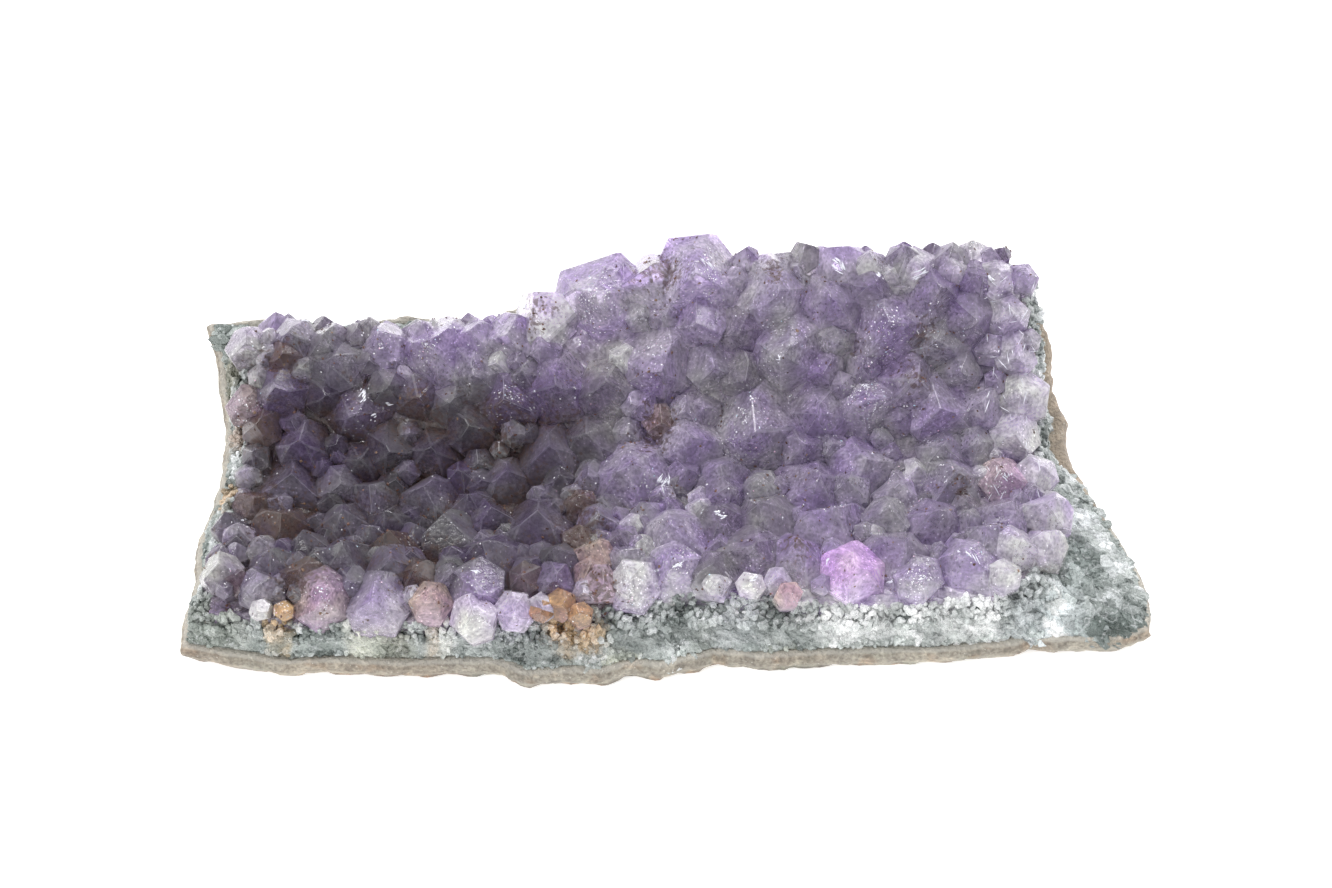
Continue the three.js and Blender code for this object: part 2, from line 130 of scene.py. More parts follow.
# Crystals by tone, placed on the plan: x and y of the head's middle and its width.
TONES = {
    "lavender": (0.54, 0.485, 0.635),
    "violet": (0.42, 0.36, 0.515),
    "vivid": (0.88, 0.62, 0.98),
    "grey": (0.48, 0.46, 0.53),
    "pale": (0.84, 0.83, 0.88),
    "smoky": (0.31, 0.29, 0.335),
    "rose": (0.74, 0.59, 0.65),
    "peach": (0.84, 0.66, 0.56),
    "white": (0.93, 0.93, 0.94),
    "brown": (0.37, 0.285, 0.285),
    "ochre": (0.66, 0.42, 0.20),
}
CRYSTALS = {
    "lavender": [
        (-35, 1.3, 5.8), (-36.8, -5.3, 4.2), (-30, -19.3, 4.6), (-31.3, -24.8, 6.6), (-26.6, 8, 7.2),
        (-22, 9.3, 3.8), (-17.8, 8.7, 4.8), (-7.8, 11, 8.8), (-18, -4.6, 4.8), (-4, -5.3, 9),
        (3.8, 12.6, 8.4), (-2, 12.8, 6.8), (9.3, -1, 10.6), (17.2, 0.3, 5.8), (24.8, 7.6, 7.4),
        (22.8, 1.4, 6.8), (31, 0.6, 6.6), (22.5, -5, 6.6), (33, -18.8, 6.6), (27.3, -21.2, 4.8),
        (1, -14.5, 7), (1, -20.2, 5.4), (-32.4, 9, 4.8), (-20.3, -23.3, 5.8), (19.4, 15.2, 5.4),
        (2.8, -2, 5.8), (35.6, 1.2, 4.8), (-23.4, -21.2, 3), (6.4, -5.8, 4.6), (25.6, -8.6, 4),
    ],
    "violet": [
        (-43.8, 3.8, 5.5), (-41, -0.8, 5), (-42.2, -4.9, 6.4), (-12.3, 3.8, 7.8), (-18, 2.6, 5.6),
        (-13.4, -2.6, 5.8), (-19.3, -9.8, 4), (-14.3, -12, 7.6), (-0.8, 4.6, 7.4), (3.6, 8.2, 5.4),
        (16.3, -7.6, 7.2), (18.7, -12.4, 7), (14.4, -17.2, 7), (18.2, 10.2, 7), (34.2, 8, 6),
        (28, 3.2, 6.6), (30.4, 10.6, 7), (23.6, 11.4, 4.2), (35.2, 12.2, 4), (25.5, -17.1, 6.4),
        (29.6, -12.4, 6.4), (37.6, -11.4, 4.8), (-12, -22, 4), (-21.8, -7.6, 3.8), (-19.6, -17.5, 6.4),
        (15.8, -3, 4.4), (7, -8.6, 4),
    ],
    "vivid": [(20.5, -20.4, 6.0)],
    "grey": [
        (-42.5, 9.4, 4), (-38.5, 9, 4.2), (-38.3, 6.4, 6), (-33.3, -6.3, 5), (-26.6, -6.6, 5.4),
        (-24, -12.3, 6.4), (-35, -17.5, 5.8), (-21.8, 5, 5.4), (-36, -10.3, 5), (-34.3, -22, 3.6),
        (-24.5, 2.6, 3.6), (13.8, 5.4, 8), (11.9, 10.6, 7.6), (5.3, 4.2, 4.2), (30.8, 6.2, 5.2),
        (31, -3.2, 4.6), (31.8, -7.5, 6.4), (35, -2.8, 3.8), (-4.5, -18, 3.6), (-7.2, -12, 4),
        (26.9, 15, 4.2), (32.2, 15.6, 4.8), (10.5, -7.8, 3.8), (32.9, 3.8, 4), (-44.5, -23.4, 4.2),
        (-42.8, -18, 4.6), (24.6, -12.2, 4.2), (35, -14.8, 4.4), (20.4, -8, 3.6), (-8.6, -5.6, 3.4),
    ],
    "pale": [
        (-47.4, 8.2, 4), (-45.4, 7.2, 2.4), (-47.4, -4, 2.4), (-47.6, -12.5, 2.8), (-14.8, 12.4, 6.4),
        (-3.8, -23, 5), (34.4, 16.6, 3.4), (28.4, 13.2, 4.4), (32.6, 13.6, 3.2), (39.6, 2, 5.4),
        (39.4, -1.8, 4.2), (37.6, 12.6, 4.2), (38.6, 8.6, 4), (39.2, 5.2, 4), (42.2, -11, 4.4),
        (-16.4, -26.4, 4), (-13.2, -25.4, 2.8), (-17.3, -0.4, 2.4), (41.6, -6.2, 4), (38.2, -16.6, 4.4),
        (37, -20.8, 3.2), (-44.6, -15.4, 3.2), (5.4, -22.2, 2.8), (12.2, -21.6, 2.6), (23, 14.6, 3.8),
        (42, -15.4, 3.6),
    ],
    "smoky": [
        (-38.8, 3.4, 4), (-31.2, -1.6, 4.6), (-34.6, -2.8, 4), (-46.6, -2, 2.6), (-28, 3, 4),
        (-6.5, 3, 6.2), (-12, -18.3, 4.4), (8.4, 7.4, 4.8), (10.8, -12.2, 5.8), (9, -18, 6.2),
        (5, -20.2, 4.4), (-39.6, -15, 4.4), (-31.4, 3.8, 4), (-26.2, -1.8, 4.8), (-22, 0.4, 4.4),
        (-8.4, -1.4, 5.4), (6, -12.4, 5.2), (-31, -10.6, 4.6), (8.8, 3.4, 4.4),
    ],
    "rose": [(-37, -24.6, 6.2), (-7, -22.4, 4), (37.6, -6.8, 4.4), (-47.4, 2.3, 3.8)],
    "peach": [(-25.2, -24.6, 4.2), (-7.8, -17.3, 3.8), (-8.2, -20.2, 3.0), (13.4, -23.6, 2.6)],
    "white": [
        (-20.8, -26.6, 4.6), (-48.6, -19.8, 4), (-46, 5.2, 2.2), (9, -22.4, 2.6), (-43.8, -25.8, 2.0),
    ],
    "ochre": [(-11.2, -25.2, 3.2), (-13.6, -26.0, 2.4), (-9.2, -26.2, 2.4), (-41.2, -26.0, 1.9)],
    "brown": [
        (-43.6, 6.8, 4), (-45.8, 0.6, 3.6), (-46.4, -7.8, 3), (-42.8, -11, 5.2), (-39.8, -20.8, 4.6),
        (-30, -14.6, 4.4), (-9.8, -9, 3.2), (-9.5, -14.4, 3.2), (-0.6, -0.4, 3.2), (-27.4, -20.6, 3.8),
        (-46.8, -21.6, 2.6), (-15.4, -21.4, 3.4),
    ],
}


def ramp(value, low, high):
    """0 below low, 1 above high, smooth between."""
    t = np.clip((value - low) / (high - low), 0.0, 1.0)
    return t * t * (3.0 - 2.0 * t)


def between(pair, share):
    return pair[0] + (pair[1] - pair[0]) * share


def near(x, y, patch, core):
    """1 within a share of a round patch's radius, 0 outside the patch, which is its x, y and radius."""
    return ramp(-np.hypot(x - patch[0], y - patch[1]), -patch[2], -core * patch[2])


def bank(x):
    """0 over the low bowl on the left, 1 over the high bank on the right."""
    return ramp(x, -25.0, 5.0)


def head_height(x, y):
    """Height of the middle of the crystals' heads."""
    right = bank(x)
    floor = between(FLOOR_HEIGHT, right)
    crest_y = between(CREST_Y, right)
    back = ramp(y, -6.0, crest_y)
    front = ramp(-y, 8.0, 21.0)
    wall = floor + (between(CREST_HEIGHT, right) - floor) * back + (LIP_HEIGHT - floor) * front
    return wall - CREST_FALL * np.maximum(0.0, y - crest_y)


def crust_normal(x, y):
    step = 3.0
    dx = (head_height(x + step, y) - head_height(x - step, y)) / (2 * step)
    dy = (head_height(x, y + step) - head_height(x, y - step)) / (2 * step)
    normal = np.stack([-dx, -dy, np.ones_like(dx)], axis=-1)
    return normal / np.linalg.norm(normal, axis=-1, keepdims=True)


def off_foot(x, y):
    return np.maximum.reduce([np.abs(x) - FOOT["x"], FOOT["front"] - y, y - FOOT["back"], np.zeros_like(x)])


def sweep(x, y):
    """The rind's sweep: flat on the foot, then rising to the back and a little to the other edges."""
    reach = between(BACK_EDGE_Y, bank(x)) - FOOT["back"]
    rise = between(BACK_RISE, bank(x)) * (np.maximum(0.0, y - FOOT["back"]) / reach) ** 2
    return rise + EDGE_LIFT * ramp(off_foot(x, y), 0.0, 6.0)


def rind_top(x, y):
    return sweep(x, y) + RIND_THICKNESS


def below_heads(x, y, depth):
    return head_height(x, y) - depth / crust_normal(x, y)[..., 2]


def quartz_top(x, y):
    return np.maximum(below_heads(x, y, BED_DEPTH), rind_top(x, y) + QUARTZ_LEAST)


def to_frame(points):
    """Plan millimetres to the frame's metres."""
    return (np.asarray(points, float) + PLAN_OFFSET) * MM


def roughness(points, size, strength, octaves=3, seed=0.0):
    """Fractal noise at points, in millimetres, about zero."""
    offset = Vector((seed * 17.3, seed * 5.1, -seed * 9.7))
    values = [noise.fractal(Vector(p) / size + offset, 1.0, 2.0, octaves) for p in points]
    return strength * np.array(values)


def mesh_object(name, vertices, faces, smooth=False):
    mesh = bpy.data.meshes.new(name)
    mesh.from_pydata([tuple(v) for v in vertices], [], faces)
    mesh.update()
    mesh.polygons.foreach_set("use_smooth", np.full(len(mesh.polygons), smooth))
    piece = bpy.data.objects.new(name, mesh)
    bpy.context.scene.collection.objects.link(piece)
    return piece


def edge_line(count):
    """Points along the outline at even steps: x, y and the rim's width."""
    closed = np.array(OUTLINE + OUTLINE[:1], float)
    steps = np.linalg.norm(np.diff(closed[:, :2], axis=0), axis=1)
    along = np.concatenate([[0.0], np.cumsum(steps)])
    at = np.linspace(0.0, along[-1], count, endpoint=False)
    return np.stack([np.interp(at, along, closed[:, k]) for k in range(3)], axis=1)


def toward_centre(points, distance):
    step = CENTRE - points
    step /= np.linalg.norm(step, axis=1, keepdims=True)
    return points + step * np.reshape(distance, (-1, 1))


def ring_faces(rings, count):
    faces = []
    for first in range(0, (rings - 1) * count, count):
        for i in range(count):
            j = (i + 1) % count
            faces.append((first + i, first + count + i, first + count + j, first + j))
    return faces


def lathe_like(name, loops, smooth=True):
    """A closed body from loops that run from the middle of the top, round the edge, to the middle below."""
    count = len(loops[0])
    vertices = np.concatenate(loops)
    top = loops[0].mean(axis=0)
    bottom = loops[-1].mean(axis=0)
    faces = ring_faces(len(loops), count)
    last = (len(loops) - 1) * count
    n = len(vertices)
    faces += [(n, i, (i + 1) % count) for i in range(count)]
    faces += [(n + 1, last + (i + 1) % count, last + i) for i in range(count)]
    return mesh_object(name, to_frame(np.vstack([vertices, top, bottom])), faces, smooth)


def at_height(plan, height):
    return np.column_stack([plan, height])


edge = edge_line(EDGE_POINTS)
outer = edge[:, :2].copy()
flat_edge = at_height(outer, 0 * edge[:, 2])
ragged = roughness(flat_edge, 4.0, 0.3, 2, 1.0) + roughness(flat_edge, 1.1, 0.14, 3, 1.5)
outer = toward_centre(outer, ragged)
rim_width = edge[:, 2]


def edge_slant():
    """How squarely the way to the centre crosses the outline at each of its points, 0.35 to 1."""
    along = np.roll(outer, -8, axis=0) - np.roll(outer, 8, axis=0)
    inward = np.column_stack([-along[:, 1], along[:, 0]]) / np.linalg.norm(along, axis=1, keepdims=True)
    to_centre = toward_centre(outer, 1.0) - outer
    return np.clip((inward * to_centre).sum(axis=1), 0.35, 1.0)


slant = edge_slant()
# How much more of the rind is bare outside the quartz at the right, in millimetres.
bare_skin = 1.3 * ramp(outer[:, 0], 37.0, 43.0) * ramp(outer[:, 1], -4.0, 3.0)


def share_loop(outline, share):
    return CENTRE + (outline - CENTRE) * share


def build_rind():
    """The agate skin: rough and pitted outside, broken and banded at the edge."""
    loops = []
    for share in (0.3, 0.6, 0.85, 1.0):
        plan = share_loop(toward_centre(outer, 1.6), share)
        loops.append(at_height(plan, rind_top(*plan.T) - 0.1))
    for inset, height in RIND_EDGE:
        plan = toward_centre(outer, inset)
        base = at_height(plan, sweep(*plan.T) + RIND_THICKNESS * height)
        push = roughness(base * (1, 1, 2.2), 1.1, 0.22, 3, 2.0)
        loops.append(at_height(toward_centre(plan, push), base[:, 2] + 0.25 * push))
    edge_points = len(loops) * EDGE_POINTS
    for share in np.linspace(0.985, 0.03, UNDERSIDE_LOOPS):
        plan = share_loop(outer, share)
        off = off_foot(*plan.T)
        away = ramp(off, 0.0, 6.0)
        base = at_height(plan, sweep(*plan.T))
        lumps = 0.5 * np.sin(0.53 * plan[:, 0] + 1) * np.cos(0.4 * plan[:, 1])
        lumps += 0.3 * np.sin(1.3 * plan[:, 0] + 0.9 * plan[:, 1])
        coarse = roughness(base, 4.5, 0.5, 3, 3.0) * away
        fine = roughness(base, 1.3, 0.26, 3, 4.0)
        pits = np.maximum(0.0, roughness(base, 2.4, 1.0, 2, 5.0) - 0.3)
        height = base[:, 2] + lumps * away - coarse + fine + 0.9 * pits
        least = FOOT_RELIEF * ramp(off, 0.0, 1.0)
        height = np.minimum(height, base[:, 2] + RIND_THICKNESS - LEAST_SKIN)
        loops.append(at_height(plan, np.maximum(least, height)))
    piece = lathe_like("agate_rind_skin", loops)
    place = plan_of(piece.data)
    above = (place[:, 2] - sweep(*place[:, :2].T)) / RIND_THICKNESS
    above[edge_points:] = 0.0
    above *= 1.0 - 0.9 * right_flange(place)
    note(piece.data, "layer", "POINT", np.clip(above, 0.0, 1.0))
    paint_vertices(piece.data, rind_tint(place))
    return piece


def rind_tint(place):
    """The skin's colour: grey tan, with brown, green grey and rusty patches."""
    colour = np.tile((0.325, 0.30, 0.258), (len(place), 1))
    below = ramp(place[:, 2] - sweep(*place[:, :2].T), 1.2, 0.2)
    for seed, size, edge_of, tone, most in RIND_PATCHES:
        cloud = roughness(place, size, 1.0, 3, seed)
        share = ramp(cloud, edge_of, edge_of + 0.22) * (0.35 + 0.65 * below) * most
        colour += (np.array(tone) - colour) * share[:, None]
    brown = 0.8 * right_flange(place)
    return colour + (np.array((0.27, 0.195, 0.145)) - colour) * brown[:, None]


def right_flange(place):
    """1 on the bare edge of skin at the right, 0 elsewhere."""
    return ramp(place[:, 0] + 0.25 * place[:, 1], 41.0, 45.0) * ramp(place[:, 1], -9.0, -1.0)


def build_quartz():
    """The granular layer: level under the crust, then down its broken rim to the rind."""
    inside = toward_centre(outer, np.maximum(rim_width - 0.4, RIM_INSET / slant + 0.2 + bare_skin))
    edge_plan = toward_centre(outer, RIM_INSET / slant + bare_skin)
    loops = []
    for share in (0.12, 0.25, 0.38, 0.5, 0.6, 0.7, 0.78, 0.86, 0.93, 1.0):
        plan = share_loop(inside, share)
        base = at_height(plan, quartz_top(*plan.T))
        loops.append(at_height(plan, base[:, 2] + roughness(base, 1.6, 0.35, 3, 6.0)))
    inner_height = quartz_top(*inside.T)
    for share in np.linspace(0.08, 1.0, 16):
        plan = inside + (edge_plan - inside) * share
        least = rind_top(*plan.T) + RIM_CLEAR
        height = np.maximum(inner_height + (least - inner_height) * share**RIM_FALL, least)
        base = at_height(plan, height)
        bumps = roughness(base, 2.4, 0.7, 2, 7.0) + roughness(base, 0.8, 0.35, 3, 8.0)
        fade = min(1.0, 4 * (1.02 - share))
        loops.append(at_height(plan, np.maximum(height + bumps * fade, least - 0.1)))
    for share in (1.0, 0.8, 0.4, 0.1):
        plan = share_loop(toward_centre(edge_plan, 0.2), share)
        loops.append(at_height(plan, rind_top(*plan.T) - 0.15))
    piece = lathe_like("granular_quartz_layer", loops, smooth=False)
    place = plan_of(piece.data)
    own = np.tile(QUARTZ_TONES[2], (len(place), 1))
    paint_vertices(piece.data, quartz_tint(*place[:, :2].T, own))
    return piece


def meeting_points(normals, offsets, slack=1e-5):
    """Corners of the convex body inside a set of planes, merged, and which planes each corner is on."""
    count = len(offsets)
    triples = [(a, b, c) for a in range(count) for b in range(a + 1, count) for c in range(b + 1, count)]
    i, j, k = np.array(triples).T
    stack = np.stack([normals[i], normals[j], normals[k]], axis=1)
    usable = np.abs(np.linalg.det(stack)) > 1e-5
    sides = np.stack([offsets[i], offsets[j], offsets[k]], axis=1)[usable]
    corners = np.linalg.solve(stack[usable], sides[..., None])[..., 0]
    inside = (corners @ normals.T <= offsets + slack).all(axis=1)
    corners = corners[inside]
    merged = []
    for corner in corners:
        if not any(np.abs(corner - m).max() < 3e-4 for m in merged):
            merged.append(corner)
    corners = np.array(merged)
    on = np.abs(corners @ normals.T - offsets) < 6e-4
    return corners, on


def convex_faces(corners, on, normals):
    """Faces, each with the plane that it lies on, their corners in order about its normal."""
    faces, planes = [], []
    for p in range(len(normals)):
        members = np.flatnonzero(on[:, p])
        if len(members) < 3:
            continue
        middle = corners[members].mean(axis=0)
        first = corners[members[0]] - middle
        first /= max(np.linalg.norm(first), 1e-9)
        second = np.cross(normals[p], first)
        spread = corners[members] - middle
        order = np.argsort(np.arctan2(spread @ second, spread @ first))
        faces.append([int(m) for m in members[order]])
        planes.append(p)
    return faces, planes


def closed(faces, corners):
    """Whether every edge is shared by two faces that run along it in opposite ways."""
    edges = [(a, b) for face in faces for a, b in zip(face, face[1:] + face[:1])]
    pairs = set(edges)
    whole = len(pairs) == len(edges) and all((b, a) in pairs for a, b in edges)
    return whole and corners - len(edges) // 2 + len(faces) == 2


def convex_body(normals, offsets):
    """The body inside a set of planes: its corners, faces and the planes that they lie on, or None where
    the faces don't close."""
    corners, on = meeting_points(normals, offsets)
    faces, planes = convex_faces(corners, on, normals)
    return (corners, faces, planes) if closed(faces, len(corners)) else None


def crystal_body(width, grown, root, rng):
    """A quartz point along +Z with its head's middle at the origin and all its edges lightly worn:
    corners, faces, and 1 for each face that is a worn edge."""
    radius = 0.5 * grown * width
    turn = rng.uniform(0, math.tau / 6)
    minor = radius * rng.uniform(0.0, 0.26)
    normals, offsets = [(0.0, 0.0, -1.0)], [root]
    for k in range(6):
        angle = turn + k * math.tau / 6
        side = np.array([math.cos(angle), math.sin(angle), 0.0])
        tip = side * math.sin(RHOMB_ANGLE) + np.array([0.0, 0.0, math.cos(RHOMB_ANGLE)])
        shift = radius * rng.uniform(-0.12, 0.12) + (minor if k % 2 else 0.0)
        normals += [tuple(side), tuple(tip)]
        offsets += [radius * rng.uniform(0.88, 1.1), TIP_RISE * width * math.cos(RHOMB_ANGLE) + shift]
    normals, offsets = np.array(normals), np.array(offsets)
    corners, on = meeting_points(normals, offsets)
    worn_normals, worn_offsets = [], []
    worn_depth = WORN_EDGE * rng.uniform(0.6, 1.6) * math.sqrt(width / 5)
    for a in range(1, len(offsets)):
        for b in range(a + 1, len(offsets)):
            if (on[:, a] & on[:, b]).sum() >= 2:
                both = normals[a] + normals[b]
                length = np.linalg.norm(both)
                worn_normals.append(both / length)
                worn_offsets.append((offsets[a] + offsets[b]) / length - worn_depth)
    plain = len(offsets)
    body = convex_body(np.vstack([normals, worn_normals]), np.concatenate([offsets, worn_offsets]))
    if body is None:
        return crystal_body(width, grown, root, rng)
    corners, faces, planes = body
    return corners, faces, [float(p >= plain) for p in planes]


def turned_to(axis, lean_x, lean_y):
    """A rotation that takes +Z to an axis leaned by angles, in radians."""
    leaned = Matrix.Rotation(-lean_y, 3, "X") @ Matrix.Rotation(lean_x, 3, "Y") @ Vector(axis)
    return np.array(leaned.to_track_quat("Z", "Y").to_matrix())


def filler_places(placed, rng):
    """Small points in the hollows between the placed ones."""
    spacing = 2.3
    line = edge_line(160)
    inside = toward_centre(line[:, :2], line[:, 2] + 0.8)
    found = []
    for y in np.arange(-26.0, 18.0, spacing):
        for x in np.arange(-50.0, 45.0, spacing):
            px, py = x + spacing * rng.uniform(-0.5, 0.5), y + spacing * rng.uniform(-0.5, 0.5)
            width = rng.uniform(1.7, 3.3)
            taken = np.hypot(placed[:, 0] - px, placed[:, 1] - py) < 0.4 * placed[:, 2] + 0.2 * width
            if taken.any() or not inside_outline(px, py, inside):
                continue
            found.append((px, py, width))
    return found


def inside_outline(x, y, outline):
    a, b = outline, np.roll(outline, -1, axis=0)
    crosses = (a[:, 1] > y) != (b[:, 1] > y)
    at = a[:, 0] + (y - a[:, 1]) * (b[:, 0] - a[:, 0]) / np.where(crosses, b[:, 1] - a[:, 1], 1.0)
    return bool((crosses & (x < at)).sum() % 2)


def build_bed():
    """The sheet of quartz from which the crystals grow, its underside sunk in the granular layer."""
    line = edge_line(220)
    outline = toward_centre(line[:, :2], line[:, 2] + 0.2)
    loops = []
    for share in np.linspace(0.06, 0.985, 20):
        plan = share_loop(outline, share)
        top = np.maximum(below_heads(*plan.T, BED_TOP), quartz_top(*plan.T) + 0.9)
        base = at_height(plan, top)
        loops.append(at_height(plan, top + roughness(base, 1.7, 0.8, 2, 9.0)))
    for share in (1.0, 0.9, 0.78, 0.64, 0.48, 0.3, 0.12):
        plan = share_loop(outline, share)
        loops.append(at_height(plan, quartz_top(*plan.T) - 0.7))
    return lathe_like("bed", loops, smooth=False)


# Places on the plan where broken veils inside the crystals glitter, painted there as white glints on the
# faces and bright glitter flakes: x, y and radius.
SPARKLES = [
    (-34.5, 2.0, 2.2), (-26.8, 8.2, 2.0), (-32.4, 8.4, 1.6), (-18, 2.8, 2.2), (-8.2, 11.8, 3.4),
    (-1.6, 5.6, 2.8), (4.6, 13.2, 2.8), (-1.0, -7.0, 2.4), (8.6, -0.4, 3.8), (22.8, 1.8, 3.0),
    (24.8, 8.2, 2.4), (-37, -24.6, 1.6), (-3.6, -23, 2.2), (18.4, -11.4, 2.0), (27.4, -21.2, 2.4),
    (33.2, -18.2, 2.2), (1.2, -19.6, 2.2), (-20.4, -22.4, 2.0), (-47.2, 2.2, 2.0), (-41.8, -25, 1.6),
    (37.6, -7, 2.0), (-26.4, -13.6, 1.8),
]

# Places on the plan where the quartz is stained or clear: x, y, radius and colour.
STAINS = [
    (-41.6, -24.8, 1.8, (0.62, 0.39, 0.16)),
    (-25.2, -26.6, 2.4, (0.74, 0.58, 0.44)),
    (-11.8, -24.4, 3.0, (0.62, 0.39, 0.18)),
    (-8.4, -25.4, 2.4, (0.64, 0.44, 0.24)),
    (-5.0, -28.6, 3.4, (0.86, 0.82, 0.66)),
    (-20.6, -28.2, 3.4, (0.86, 0.87, 0.88)),
    (-30.5, -27.6, 5.0, (0.66, 0.64, 0.56)),
    (-48.6, -16.0, 2.4, (0.45, 0.33, 0.12)),
    (-49.2, -5.4, 1.5, (0.56, 0.38, 0.22)),
    (-48.8, 3.0, 3.4, (0.66, 0.52, 0.44)),
    (-49.6, 11.0, 4.4, (0.22, 0.20, 0.13)),
    (13.5, -26.6, 2.8, (0.74, 0.72, 0.56)),
    (7.0, -27.0, 6.0, (0.42, 0.44, 0.41)),
    (40.0, -25.0, 6.5, (0.84, 0.87, 0.90)),
    (32.0, -23.0, 8.0, (1.0, 1.0, 1.0)),
    (21.0, -23.0, 7.0, (1.0, 1.0, 1.0)),
    (8.0, -24.0, 4.0, (0.84, 0.86, 0.88)),
    (-24.0, -26.6, 2.4, (0.92, 0.92, 0.92)),
    (-33.6, -27.0, 2.6, (0.86, 0.84, 0.76)),
    (-46.6, -25.2, 2.2, (0.80, 0.80, 0.78)),
    (1.6, -27.0, 2.2, (0.82, 0.84, 0.84)),
    (41.5, -26.4, 4.6, (1.0, 1.0, 1.0)),
    (46.0, -8.0, 3.0, (0.86, 0.88, 0.90)),
    (44.0, -22.0, 4.0, (0.80, 0.84, 0.86)),
    (50.6, -22.5, 4.6, (0.10, 0.13, 0.12)),
    (46.0, -15.0, 5.0, (0.24, 0.28, 0.27)),
    (-50.0, -24.0, 5.0, (0.30, 0.32, 0.29)),
]
QUARTZ_TONES = [
    (0.16, 0.18, 0.175), (0.34, 0.37, 0.36), (0.52, 0.55, 0.54), (0.70, 0.72, 0.725), (0.97, 0.98, 1.0),
]

# Patches on the rind: a seed for the noise, size in millimetres, its edge, colour and share.
RIND_PATCHES = [
    (41.0, 9.0, 0.02, (0.27, 0.20, 0.145), 0.8),
    (42.0, 5.0, 0.12, (0.22, 0.23, 0.185), 0.7),
    (43.0, 3.4, 0.2, (0.52, 0.475, 0.395), 0.7),
    (44.0, 2.2, 0.3, (0.36, 0.19, 0.09), 0.6),
]


def quartz_tint(x, y, own):
    """The quartz's colour at places on the plan, from each one's own tone and the stains near it."""
    colour = np.array(own, float)
    wander = roughness(np.column_stack([x, y, 0 * x]), 2.2, 1.6, 3, 12.0)
    for sx, sy, radius, stain in STAINS:
        share = 0.8 * ramp(-np.hypot(x - sx, y - sy) + wander, -radius, -0.35 * radius)
        own_shade = 0.55 + 0.9 * colour.mean(axis=1, keepdims=True)
        colour += (np.array(stain) * own_shade - colour) * share[:, None]
    from_edge = np.min(np.hypot(x[:, None] - outer[None, ::2, 0], y[:, None] - outer[None, ::2, 1]), axis=1)
    seam = ramp(-from_edge + 0.3 * wander, -1.9, -1.1)
    colour *= 1.0 - seam[:, None] * np.array([0.26, 0.23, 0.25])
    return np.clip(colour, 0.0, 1.0)


def note(mesh, name, domain, values, kind="FLOAT"):
    """Keeps one number, or one colour, for each point, corner or face of a mesh."""
    layer = mesh.attributes.new(name, kind, domain).data
    layer.foreach_set("value" if kind == "FLOAT" else "color", np.asarray(values, np.float32).ravel())


def corner_vertices(mesh):
    found = np.zeros(len(mesh.loops), np.int32)
    mesh.loops.foreach_get("vertex_index", found)
    return found


def paint_corners(mesh, colours):
    """Keeps a colour for each corner of the faces."""
    note(mesh, "tint", "CORNER", np.column_stack([colours, np.ones(len(colours))]), "FLOAT_COLOR")


def paint_vertices(mesh, colours):
    paint_corners(mesh, colours[corner_vertices(mesh)])


def plan_of(mesh):
    """The vertices' places on the plan, in millimetres."""
    place = np.zeros(len(mesh.vertices) * 3)
    mesh.vertices.foreach_get("co", place)
    return place.reshape(-1, 3) / MM - PLAN_OFFSET


def block_shape(rng):
    """A small broken block of quartz about 1 across."""
    normals, offsets = [], []
    turn = rng.uniform(0, math.tau)
    for k in range(6):
        angle = turn + (k + rng.uniform(-0.25, 0.25)) * math.tau / 6
        normals.append((math.cos(angle), math.sin(angle), rng.uniform(-0.35, 0.35)))
        offsets.append(rng.uniform(0.36, 0.46))
    for tilt in (1.0, -1.0):
        for k in range(3):
            angle = turn + (k + rng.uniform(-0.3, 0.3)) * math.tau / 3
            normals.append((0.7 * math.cos(angle), 0.7 * math.sin(angle), tilt))
            offsets.append(rng.uniform(0.38, 0.5))
    normals = np.array(normals)
    normals /= np.linalg.norm(normals, axis=1, keepdims=True)
    body = convex_body(normals, np.array(offsets))
    return body[:2] if body else block_shape(rng)


def rim_height(plan, start, share):
    """The layer's height on its bare rim, from its start by the crystals to its edge."""
    least = rind_top(*plan) + RIM_CLEAR
    return max(start + (least - start) * share**RIM_FALL, least)


def quartz_tone(plan, rng):
    """A grain's own tone: patches of dark, grey and white quartz, and a little chance."""
    cloud = noise.fractal(Vector((plan[0], plan[1], 50.0)) / 2.6, 1.0, 2.0, 3)
    at = 0.55 + 0.62 * cloud + 0.2 * rng.normal()
    steps = np.linspace(0.0, 1.0, len(QUARTZ_TONES))
    return [np.interp(at, steps, channel) for channel in np.array(QUARTZ_TONES).T]


def rim_grains(rng, count, splinters=False):
    """Blocks over the layer's bare rim, or splinters on its wide corner: each one's place on the plan,
    height, size, stretch and lie."""
    inner = toward_centre(outer, np.maximum(rim_width + 1.0, 2.2))
    wide = np.maximum(rim_width - 4.6, 0.0) if splinters else rim_width
    chance = (wide / wide.sum()).cumsum()
    found = []
    for _ in range(count):
        i = int(np.searchsorted(chance, rng.random()))
        size = rng.uniform(1.0, 2.8) if splinters else rng.uniform(0.4, 0.9)
        away = inner[i] - outer[i]
        outside = outer[i] + away / np.linalg.norm(away) * ((0.75 + 0.4 * size) / slant[i] + bare_skin[i])
        share = rng.random()
        plan = inner[i] + (outside - inner[i]) * share
        height = rim_height(plan, quartz_top(*inner[i]), share)
        lie = (-away[0], -away[1], -0.5 * np.linalg.norm(away)) if splinters else rng.normal(size=3)
        sunk = rng.uniform(-0.44, -0.2) if splinters else rng.uniform(-0.34, 0.0)
        found.append((plan, height + sunk * size, size, 1.5 if splinters else 1.1, lie))
    return found


def way_in(i):
    """From a point of the outline to the centre, 1 mm long."""
    return (CENTRE - outer[i]) / np.linalg.norm(CENTRE - outer[i])


def block_at(plan, height, rng):
    return plan, height, rng.uniform(0.45, 1.1), 1.2, rng.normal(size=3)


